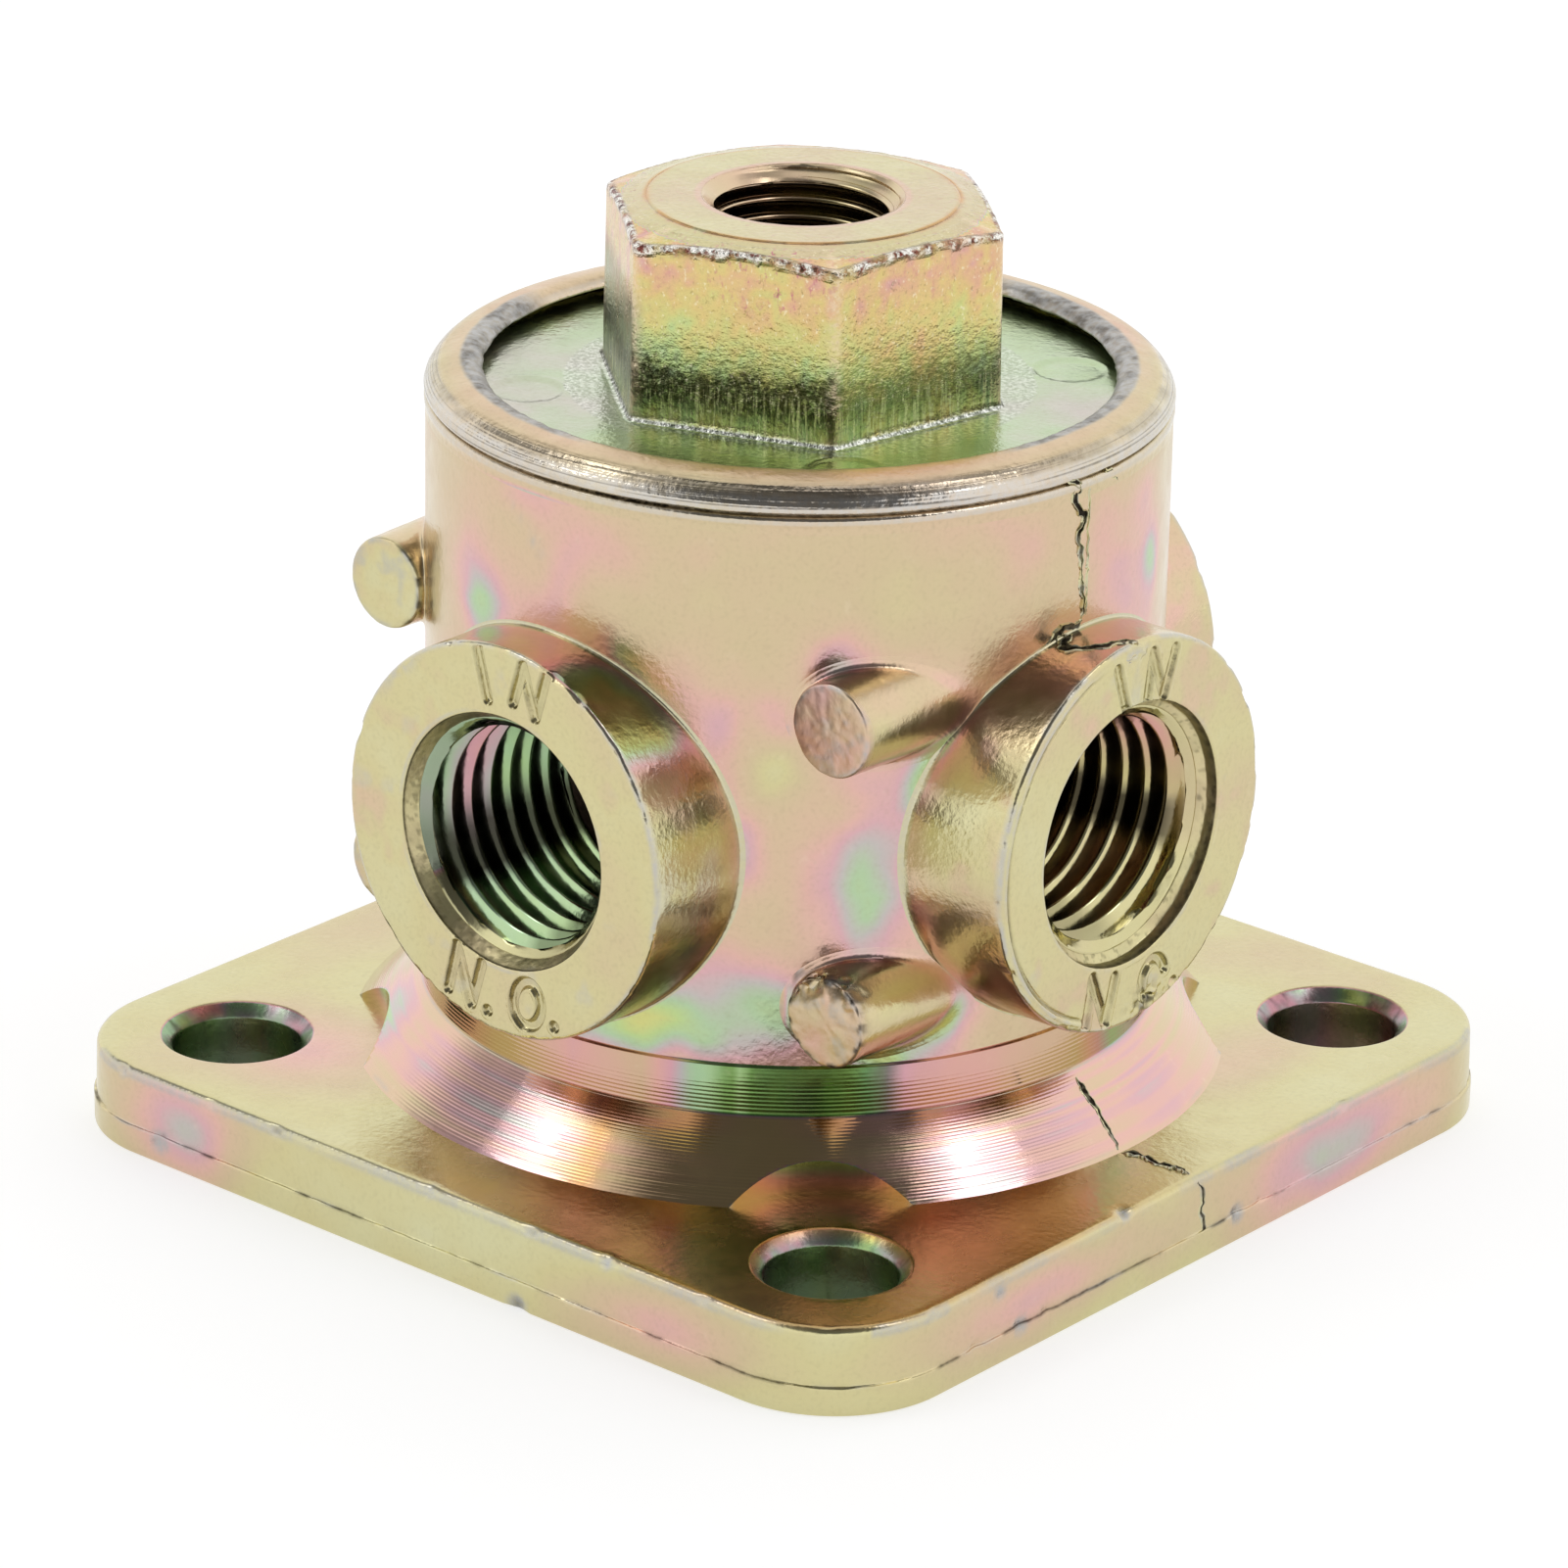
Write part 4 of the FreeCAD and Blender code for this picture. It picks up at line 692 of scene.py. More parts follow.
# ---------------------------------------------------------------- studs
def build_stud(name, x, z, seed, crumble=0.0):
    n = 96
    phi = np.arange(n) * 2 * PI / n
    c, s = np.cos(phi), np.sin(phi)
    draft = math.tan(math.radians(1.8))
    rows = []

    def row(r, w, kind=0):
        rows.append((np.broadcast_to(np.asarray(r, float), (n,)), np.broadcast_to(np.asarray(w, float), (n,)), kind))

    for r in np.linspace(0.10, STUD_R - 0.20, 15):
        row(r, STUD_END, 1)
    for a in (75, 55, 35, 15, 0):
        t = math.radians(a)
        row(STUD_R - 0.17 + 0.17 * math.cos(t), STUD_END - 0.17 + 0.17 * math.sin(t), 2)
    f = 0.55
    w_int = barrel_w(x + STUD_R * c)
    start = np.minimum(w_int + f, STUD_END - 0.2)
    m = 16
    for k in range(1, m + 1):
        w = (STUD_END - 0.17) + (start - (STUD_END - 0.17)) * k / m
        row(STUD_R + (STUD_END - w) * draft, w, 3)
    rs = STUD_R + (STUD_END - start) * draft
    w0 = barrel_w(x + rs * c)
    r2 = rs + f
    w2 = barrel_w(np.clip(x + r2 * c, -19.0, 19.0)) + 0.003
    for k in range(1, 8):
        t = k / 7
        row((1 - t * t) * rs + t * t * r2, (1 - t) ** 2 * start + 2 * t * (1 - t) * w0 + t * t * w2, 4)
    row(r2 + 0.12, barrel_w(np.clip(x + (r2 + 0.12) * c, -19, 19)) - 0.06)
    row(r2 + 0.1, barrel_w(np.clip(x + (r2 + 0.1) * c, -19, 19)) - 0.6)
    row(1.2, barrel_w(np.clip(x + 1.2 * c, -18, 18)) - 1.0)
    R = np.array([q[0] for q in rows])
    Wd = np.array([q[1] for q in rows])
    kind = np.array([q[2] for q in rows])[:, None] * np.ones(R.shape)
    Q = np.stack([R * c, R * s, Wd], -1)
    end = (kind == 1) | (kind == 2)
    Wd = Wd + np.where(end, 0.030 * fbm(Q, 1.1, seed) + 0.022 * vnoise(Q, 0.33, seed + 1), 0)
    R = R + np.where((kind == 3) | (kind == 2), 0.020 * fbm(Q, 1.8, seed + 2) + 0.008 * vnoise(Q, 0.5, seed + 3), 0)
    if crumble:
        top = sstep(0.15, 0.75, s)[None] * sstep(0.45, 0.95, R / STUD_R) * np.where(kind <= 2, 1.0, np.where(kind == 3, sstep(STUD_END - 1.4, STUD_END - 0.1, Wd), 0))
        bite = np.maximum(vnoise(Q, 0.75, seed + 5) + 0.15, 0) + 0.6 * np.maximum(vnoise(Q, 0.35, seed + 6), 0)
        Wd = Wd - crumble * 0.62 * top * bite * (kind >= 1)
        R = R - crumble * 0.40 * top * bite * ((kind == 2) | (kind == 3))
    P = np.stack([x + R * c, -Wd, z + R * s], -1)
    V, F = capped(P)
    return make(name, V, F)


# ---------------------------------------------------------------- cap: disc, hexagon, crown and mouth in one surface
def hex_radius(theta_deg, apothem, rnd):
    """radius of a hexagon with slightly rounded corners; a corner is at HEX_AZ + 60 k"""
    t = np.radians(np.abs(adiff((theta_deg - HEX_AZ) % 60.0 - 30.0, 0)))       # 0 at a face's middle, 30 degrees at a corner
    flat = apothem / np.cos(t)
    corner = apothem / math.cos(PI / 6) - rnd * (1 / math.cos(PI / 6) - 1)
    # smooth minimum between the flat and the corner's round
    k = 0.03 + 0.12 * rnd
    h = np.clip(0.5 + 0.5 * (corner - flat) / k, 0, 1)
    return corner * (1 - h) + flat * h - k * h * (1 - h)


def build_cap():
    per = 80
    q = np.linspace(-1, 1, per, endpoint=False)
    warp = np.sign(q) * (1 - (1 - np.abs(q)) ** 1.0)
    # closer columns at the corners
    qq = np.sign(q) * (1 - (1 - np.abs(q)) ** 1.35)
    frac = (qq + 1) / 2
    deg = np.concatenate([HEX_AZ + 60 * k + 60 * np.where(frac < 0.5, 0.5 * (2 * frac) ** 1.0, frac) for k in range(6)])
    # frac runs corner to corner; compress it towards both corners
    g = np.linspace(0, 1, per, endpoint=False)
    comp = g - 0.115 * np.sin(2 * PI * g)
    comp = g + (comp - g) * 0.9
    deg = np.concatenate([HEX_AZ + 60 * k + 60 * comp for k in range(6)])
    nu = len(deg)
    t = np.radians(deg)
    c, s = np.cos(t), np.sin(t)
    rows = []

    def row(r, z, kind=0):
        rows.append((np.broadcast_to(np.asarray(r, float), (nu,)), np.broadcast_to(np.asarray(z, float), (nu,)), kind))

    row(2.0, 39.5)
    row(2.0, 42.1)
    row(2.1, 42.15)
    row(5.10, 42.15)
    row(5.22, 42.4)
    row(5.22, 49.9)
    row(5.18, HEX_TOP - 0.05)
    row(5.17, HEX_TOP - 0.012, 1)
    for r in np.linspace(5.24, 7.80, 14):
        row(r, HEX_TOP, 1)
    # fine turned circle
    row(7.86, HEX_TOP + 0.0, 1)
    row(7.92, HEX_TOP - 0.02, 1)
    row(7.97, HEX_TOP - 0.10, 1)
    row(8.03, HEX_TOP - 0.06, 1)
    top_ap = HEX_AF / 2 - 0.0
    slope = 0.74 / (HEX_AF / 2 / math.cos(PI / 6) - 8.0)
    draft = math.tan(math.radians(1.45))

    def ap(z):
        return HEX_AF / 2 - (z - 45.7) * draft if False else HEX_AF / 2 - (z - DISC_Z) * draft * 0.5

    Rtop = hex_radius(deg, ap(50.0), 0.7)
    e = 0.26
    for k in range(1, 13):
        r = 8.05 + (Rtop - e - 8.05) * k / 12
        row(r, HEX_TOP - 0.06 - slope * (r - 8.05), 1)
    zc = HEX_TOP - 0.06 - slope * (Rtop - e - 8.05)
    for a in (72, 54, 36, 18, 4):
        u = math.radians(a)
        row(Rtop - e + e * math.cos(u), zc - e * 0.92 + e * 0.92 * math.sin(u), 2)
    z0 = zc - e * 0.95
    z1 = DISC_Z + 0.42
    m = 46
    for k in range(1, m + 1):
        z = z0 + (z1 - z0) * (k / m)
        row(hex_radius(deg, ap(45.0), 0.7) + (ap(0) - ap(1)) * 0 + (45.0 - z) * draft * 0.5, z, 3)
    Rb = hex_radius(deg, ap(45.0), 0.7) + (45.0 - z1) * draft * 0.5
    for k in range(1, 8):
        u = k / 7
        row(Rb + 0.38 * u * u, z1 + (DISC_Z - z1) * (1 - (1 - u) ** 2), 4)
    m = 52
    R0 = Rb + 0.44
    for k in range(0, m + 1):
        u = k / m
        row(R0 + (17.40 - R0) * u, DISC_Z, 5)
    row(17.52, DISC_Z - 0.06)
    row(17.55, DISC_Z - 0.2)
    row(17.55, 37.9)
    row(17.45, 37.76)
    row(6.6, 37.76)
    row(6.5, 37.9)
    row(6.5, 39.3)
    row(6.4, 39.4)
    R = np.array([k[0] for k in rows])
    Z = np.array([k[1] for k in rows])
    kind = np.array([k[2] for k in rows])[:, None] * np.ones(R.shape)
    P = np.stack([R * c, R * s, Z], -1)
    az = np.degrees(np.arctan2(P[..., 1], P[..., 0]))
    # ejector marks: shallow round dents with a raised edge, and one more arc partly under the rim
    for mx, my, r0, dep in ((14.05 * math.cos(math.radians(-129.7)), 14.05 * math.sin(math.radians(-129.7)), 1.88, 0.10),
                            (14.05 * math.cos(math.radians(49.5)), 14.05 * math.sin(math.radians(49.5)), 1.88, 0.10),
                            (14.05 * math.cos(math.radians(-40.1)), 14.05 * math.sin(math.radians(-40.1)), 2.0, 0.09)):
        dd = np.hypot(P[..., 0] - mx, P[..., 1] - my)
        P[..., 2] += np.where(kind == 5, -dep * (1 - sstep(r0 - 0.22, r0 + 0.02, dd)) + 0.035 * gauss(dd, r0 + 0.12, 0.13), 0)
    P[..., 2] += np.where(kind == 5, 0.016 * fbm(P, 5.0, 101) + 0.004 * vnoise(P, 0.7, 102), 0)
    P[..., 2] += np.where(kind == 1, 0.014 * fbm(P, 4.0, 103) + 0.006 * vnoise(P, 0.6, 104), 0)
    ring = np.stack([c, s, np.zeros(nu)], -1)[None] * np.ones(P.shape)
    # faces: slight dishing, vertical drag marks near the foot, rough worn corner at the top
    face_n = np.radians(HEX_AZ + 30 + 60 * np.floor(((deg - HEX_AZ) % 360) / 60))
    across = R * np.sin(t - face_n)
    drag = vnoise(np.stack([across * 6.0, P[..., 2] * 0.35, face_n[None] * 10 + 0 * P[..., 2]], -1), 1.0, 111)
    drag2 = vnoise(np.stack([across * 14.0, P[..., 2] * 0.8, face_n[None] * 10 + 0 * P[..., 2]], -1), 1.0, 112)
    low = 1 - sstep(43.0, 46.0, P[..., 2])
    amp = np.where(kind == 3, (0.004 + 0.010 * low) * drag + 0.006 * low * drag2 + 0.012 * fbm(P, 2.6, 113) - 0.03 * (1 - (across / 5.5) ** 2), 0)
    worn = np.where((kind == 2) | ((kind == 3) & (P[..., 2] > 49.4)) | ((kind == 1) & (R > 8.9)), 1.0, 0)
    amp = amp + worn * (0.030 * vnoise(P, 0.55, 115) + 0.020 * vnoise(P, 0.25, 116))
    P += ring * amp[..., None]
    P[..., 2] += worn * (0.03 * vnoise(P, 0.6, 117))
    return torus_grid("cap_casting", P)


# ---------------------------------------------------------------- cracks: an open line with raised, broken lips
def build_crack(name, pts, width, seed, lift=0.05, to_xyz=None, normal=None, step=0.07):
    """pts are places on a surface, mapped by to_xyz(u, v, h); width is a list along the line"""
    pts = np.asarray(pts, float)
    seg = np.linalg.norm(np.diff(pts, axis=0), axis=1)
    s = np.concatenate([[0], np.cumsum(seg)])
    n = max(8, int(s[-1] / step))
    q = np.linspace(0, s[-1], n)
    u = np.interp(q, s, pts[:, 0])
    v = np.interp(q, s, pts[:, 1])
    w = np.interp(q, s, width)
    J = np.stack([q, 0 * q, 0 * q], -1)
    du, dv = np.gradient(u), np.gradient(v)
    ln = np.hypot(du, dv) + 1e-9
    nu_, nv_ = -dv / ln, du / ln
    jag = 0.07 * vnoise(J, 0.42, seed) + 0.05 * vnoise(J, 0.17, seed + 1)
    u, v = u + nu_ * jag, v + nv_ * jag
    wl = w * (0.75 + 0.5 * vnoise(J, 0.3, seed + 2))
    wr = w * (0.75 + 0.5 * vnoise(J, 0.33, seed + 3))
    hl = lift * (0.7 + 0.6 * vnoise(J, 0.36, seed + 4))
    hr = lift * (0.7 + 0.6 * vnoise(J, 0.29, seed + 5))
    end = sstep(0, 0.35, q) * (1 - sstep(s[-1] - 0.35, s[-1], q))
    wl, wr = np.maximum(wl * end, 0.012), np.maximum(wr * end, 0.012)
    hl, hr = hl * end, hr * end
    lipw = 0.10 + 0.05 * vnoise(J, 0.5, seed + 6)
    # section: outside left, lip left, gap edge left, gap bottom, gap edge right, lip right, outside right, then below the skin
    sec = [(-(wl + lipw), -0.01 + 0 * q), (-(wl + lipw * 0.45), hl), (-wl, hl * 0.9), (-wl * 0.8, -0.002 + 0.0 * q + 0.012), (wr * 0.8, 0.010 + 0 * q), (wr, hr * 0.9),
           (wr + lipw * 0.45, hr), (wr + lipw, -0.01 + 0 * q), (wr * 0.9, -0.30 + 0 * q), (-wl * 0.9, -0.30 + 0 * q)]
    rows = [to_xyz(u + nu_ * a, v + nv_ * a, h) for a, h in sec]
    P = np.array(rows).transpose(1, 0, 2)          # along, across
    nv, m = P.shape[:2]
    V = P.reshape(-1, 3)
    F = [quads(nv, m, True, False), np.arange(m)[::-1], (nv - 1) * m + np.arange(m)]
    ob = make(name, V, F, sharp=50)
    # the gap, which lies at the skin, is painted dark as shade, and its edges half dark
    dark = np.zeros((nv, m))
    dark[:, 3:5] = 1.0
    dark[:, 2] = dark[:, 5] = 0.55
    attribute(ob, "gap", dark.ravel() if len(ob.data.vertices) == nv * m else np.zeros(len(ob.data.vertices)))
    return ob


def on_barrel(u, v, h):
    """u is along the barrel's circle in mm from azimuth 0, v is the height"""
    a = u / BARREL
    r = BARREL + h
    return np.stack([r * np.cos(a), r * np.sin(a), v + 0 * h], -1)


def az_u(az):
    return math.radians(az) * BARREL


print("building")
import time
T0 = time.time()
pieces = {}


def keep(ob, *names):
    pieces[ob.name] = ob
    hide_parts(*names)
    print("%-16s %7d faces %5.1f s" % (ob.name, len(ob.data.polygons), time.time() - T0))
    return ob


keep(build_core(), "valve_body")
keep(build_flange(), "valve_body")
keep(build_cone(), "valve_body")
keep(build_barrel(), "valve_body")
keep(build_rim(), "valve_body")
for side in PORTS:
    keep(build_boss(side), "valve_body")
keep(build_stud("stud_front_left_high", -STUD_X, 29.8, 121), "valve_body")
keep(build_stud("stud_front_right_high", STUD_X, 29.8, 131), "valve_body")
keep(build_stud("stud_front_left_low", -STUD_X, 14.2, 141), "valve_body")
keep(build_stud("stud_front_right_low", STUD_X, 14.2, 151, 1.0), "valve_body")
for side, (axd, e1) in PORTS.items():
    o = np.array(axd, float) * FACE + np.array([0, 0, PORT_Z])
    first = 0.39 if side != "right" else 0.76
    keep(build_thread("thread_" + side, 1.411, 5.76, 0.90, 11.0, 48 if side == "back" else 80, o, e1, (0, 0, 1), axd, cone_right if side == "right" else cone_front,
                      phase={"front": 0.49, "right": 0.76, "back": 0.2}[side], start=0.94 if side == "right" else 0.78), "valve_body")
keep(build_thread("thread_pilot", 0.941, 4.40, 0.62, 8.4, 60, (0, 0, HEX_TOP), (1, 0, 0), (0, 1, 0), (0, 0, 1), cone_pilot, phase=0.3, floor_r=5.4), "pilot_cap")
keep(build_cap(), "pilot_cap")

# the crack down the barrel from the rim to the right boss, and the small one beside it
crack = [(-5.4, 40.42), (-3.6, 40.10), (-2.2, 39.92), (-3.9, 39.65), (-3.4, 39.1), (-2.0, 38.41), (-1.5, 38.0), (-2.9, 37.46), (-2.5, 36.63), (-1.9, 35.6), (-1.7, 34.48), (-1.3, 33.6), (-1.2, 32.75)]
keep(build_crack("crack_barrel", [(az_u(a), z) for a, z in crack], [0.10, 0.22, 0.16, 0.26, 0.20, 0.20, 0.10, 0.13, 0.17, 0.06, 0.13, 0.05, 0.10], 201, 0.11, on_barrel), "valve_body")
keep(build_crack("crack_rim", [(az_u(3.3), 40.22), (az_u(4.6), 40.05), (az_u(6.0), 39.75), (az_u(6.7), 39.40)], [0.04, 0.08, 0.11, 0.04], 211, 0.04, on_barrel), "valve_body")
keep(build_crack("crack_seam", [(az_u(-0.55), 39.9), (az_u(-0.5), 38.0), (az_u(-0.55), 36.0), (az_u(-0.45), 34.0), (az_u(-0.5), 32.9)], [0.02, 0.02, 0.02, 0.02, 0.02], 215, 0.05, on_barrel), "valve_body")
keep(build_crack("crack_foot", [(az_u(-9.2), 31.9), (az_u(-7.6), 32.15), (az_u(-6.3), 32.50), (az_u(-4.6), 32.62), (az_u(-3.2), 32.55), (az_u(-1.3), 32.75)], [0.10, 0.30, 0.24, 0.14, 0.20, 0.12], 217, 0.12, on_barrel), "valve_body")


def on_cone(u, v, h):
    """u is the azimuth's arc at the cone's middle, v the distance up the slope"""
    slope = (23.0 - 19.36) / 3.4
    nz = math.hypot(1, slope)
    L = math.hypot(23.0 - 19.36, 3.4)
    r = 23.0 + (19.36 - 23.0) * v / L + h / nz
    z = 4.70 + 3.4 * v / L + h * slope / nz
    a = u / 21.0
    return np.stack([r * np.cos(a), r * np.sin(a), z], -1)


keep(build_crack("crack_cone", [(-0.60, 0.15), (-0.42, 1.0), (-0.50, 1.9), (-0.30, 2.6), (-0.46, 3.3), (-0.25, 4.0), (-0.42, 4.5)],
                 [0.05, 0.07, 0.08, 0.14, 0.22, 0.18, 0.07], 221, 0.06, on_cone), "valve_body")


def on_top(u, v, h):
    return np.stack([u, v, THICK + h], -1)


keep(build_crack("crack_flange_top", [(23.05, -0.62), (23.6, -0.35), (24.4, -0.28), (25.3, -0.42), (26.2, -0.2), (27.2, -0.32)], [0.12, 0.18, 0.14, 0.15, 0.12, 0.08],
                 231, 0.12, on_top), "valve_body")


def on_right_side(u, v, h):
    return np.stack([FLANGE - (v - PART_Z) * math.tan(math.radians(1.5)) + h, u, v], -1)


keep(build_crack("crack_flange_side", [(-0.25, 4.35), (0.05, 3.9), (0.12, 3.2), (0.0, 2.6), (0.25, 2.0), (0.15, 1.4)], [0.08, 0.12, 0.08, 0.07, 0.12, 0.16],
                 241, 0.05, on_right_side), "valve_body")


def on_right_boss(u, v, h):
    """along the top of the right boss: u is the distance round the boss from its top towards the front, v is x"""
    a = u / BOSS_R
    r = BOSS_R + h
    return np.stack([v + 0 * h, -r * np.sin(a), PORT_Z + r * np.cos(a)], -1)


keep(build_crack("crack_boss", [(1.35, 19.22), (2.15, 19.35), (2.60, 19.75), (2.55, 20.15), (2.25, 20.6), (2.02, 21.0), (1.55, 21.4), (1.02, 21.75), (0.40, 22.1), (0.05, 22.40)],
                 [0.22, 0.30, 0.28, 0.24, 0.19, 0.21, 0.22, 0.24, 0.20, 0.15], 251, 0.10, on_right_boss), "valve_body")


def on_right_face(u, v, h):
    return np.stack([FACE + h, u, v], -1)


keep(build_crack("crack_face", [(-0.02, 32.2), (0.22, 31.90), (0.02, 31.62), (-0.55, 31.52), (-1.15, 31.42)], [0.12, 0.13, 0.10, 0.08, 0.05], 261, 0.06, on_right_face), "valve_body")


# ---------------------------------------------------------------- chromate film: thickness, bare metal, dirt, painted shade and painted highlights, per point
def blobs(u, v, items):
    out = 0.0
    for cu, cv, su, sv, a in items:
        out = out + a * np.exp(-(((u - cu) / su) ** 2 + ((v - cv) / sv) ** 2))
    return out


def film_barrel(P):
    az = np.degrees(np.arctan2(P[:, 1], P[:, 0]))
    z = P[:, 2]
    film = 0.215 + 0.035 * fbm(P, 11.0, 301) + 0.05 * sstep(0.05, 0.5, fbm(P * [1, 1, 1.4], 5.0, 302))
    # round the three bosses the film is thicker
    for ax, e1 in (((0, -1, 0), (1, 0, 0)), ((1, 0, 0), (0, 1, 0)), ((0, 1, 0), (-1, 0, 0))):
        w = P @ np.array(ax, float)
        u = P @ np.array(e1, float)
        d = np.hypot(u, z - PORT_Z) - BOSS_R
        film = film + np.where(w > 5, 0.13 * np.exp(-(np.maximum(d, 0) / 1.3) ** 2) * (0.45 + 0.8 * vnoise(P, 6.0, 305)), 0)
    items = [(-104, 33.0, 7.0, 2.4, 0.27), (-89, 34.2, 6, 1.8, 0.17), (-93, 39.3, 8, 1.0, 0.14), (-108, 36.5, 9, 4, 0.06), (-43, 32.9, 6, 1.3, 0.26), (-38.5, 21.0, 5.0, 5.5, 0.16),
             (-44, 21.5, 6.5, 6.5, 0.14), (-57, 23, 5, 6, -0.05), (-60, 13.0, 10, 2.6, 0.12), (-50, 13.0, 6, 2.2, 0.20), (-73, 12.5, 8, 2.5, 0.16), (-100, 11.5, 8, 2.5, 0.20), (-20, 39.0, 9, 1.2, 0.07),
             (6, 36.5, 6, 3.2, 0.13), (11, 33.4, 6, 1.4, 0.14), (-30, 12.5, 6, 2, 0.22), (-71, 12.2, 11, 1.5, 0.26), (-90, 12.6, 8, 1.8, 0.24), (-88, 36.8, 6, 1.6, 0.12), (-38, 11.6, 5, 0.8, 0.34), (-24, 13.5, 5, 2.0, 0.30),
             (-36.5, 19.5, 4.5, 4.5, 0.12), (-28, 26.5, 5, 2.5, 0.27), (-57, 14.3, 7, 2.6, 0.16), (20, 34.0, 4, 2, 0.30), (16, 38.0, 4, 2, 0.14), (-66, 22.5, 3.5, 3.0, 0.12), (-54, 29.5, 5, 1.6, 0.14),
             (-97, 26.5, 5, 3.0, 0.16), (-79, 37.8, 8, 1.4, 0.10), (-68, 30.5, 5, 2.0, 0.10), (-26, 30.2, 5, 2.2, 0.14), (-12, 37.5, 5, 1.6, 0.08), (-54, 26.0, 6, 1.8, -0.10),
             (-44, 24.6, 5, 1.5, -0.09), (-59, 22.0, 4.0, 2.0, 0.20), (-63, 19.2, 3.0, 1.6, 0.10), (-62, 28.8, 3.0, 2.0, 0.16)]
    far = [(50, 30, 16, 5, 0.20), (64, 17, 9, 3, 0.16), (80, 13, 14, 4, 0.22), (128, 29, 18, 6, 0.20), (112, 38, 14, 1.4, 0.12), (150, 13, 16, 2.5, 0.24), (170, 19, 15, 6, 0.20), (178, 36, 14, 3, 0.14),
           (-158, 30, 15, 5, 0.20), (-146, 14, 14, 4, 0.22), (-136, 24, 8, 5, 0.12)]
    wa = 4.5 * fbm(P, 5.5, 307)
    wz = 1.7 * fbm(P, 5.0, 308)
    for ca, cz, sa, sz, a in items:
        film = film + a * np.exp(-((adiff(az + wa, ca) / sa) ** 2 + ((z + wz - cz) / sz) ** 2))
    wa, wz = 15.0 * fbm(P, 8.0, 309), 5.0 * fbm(P, 7.0, 310)
    for ca, cz, sa, sz, a in far:
        film = film + a * np.exp(-((adiff(az + wa, ca) / sa) ** 2 + ((z + wz - cz) / sz) ** 2)) * sstep(34, 44, np.abs(adiff(az, -50)) - 45)
    return film


def finish_piece(ob, film, worn=None, dirt=None, rough=None, calm=0.25, warm=None, deep=0.0):
    n = len(ob.data.vertices)
    z = np.zeros(n)
    attribute(ob, "deep", deep + z)
    attribute(ob, "film", film)
    attribute(ob, "warm", z if warm is None else np.clip(warm, 0, 1))
    attribute(ob, "calm", calm + z)
    attribute(ob, "worn", z if worn is None else np.clip(worn, 0, 1))
    attribute(ob, "dirt", z if dirt is None else np.clip(dirt, 0, 1))
    attribute(ob, "rough", z if rough is None else rough)


def read(ob, name):
    a = ob.data.attributes.get(name)
    v = np.zeros(len(ob.data.vertices), np.float32)
    if a:
        a.data.foreach_get("value", v)
    return v.astype(float)


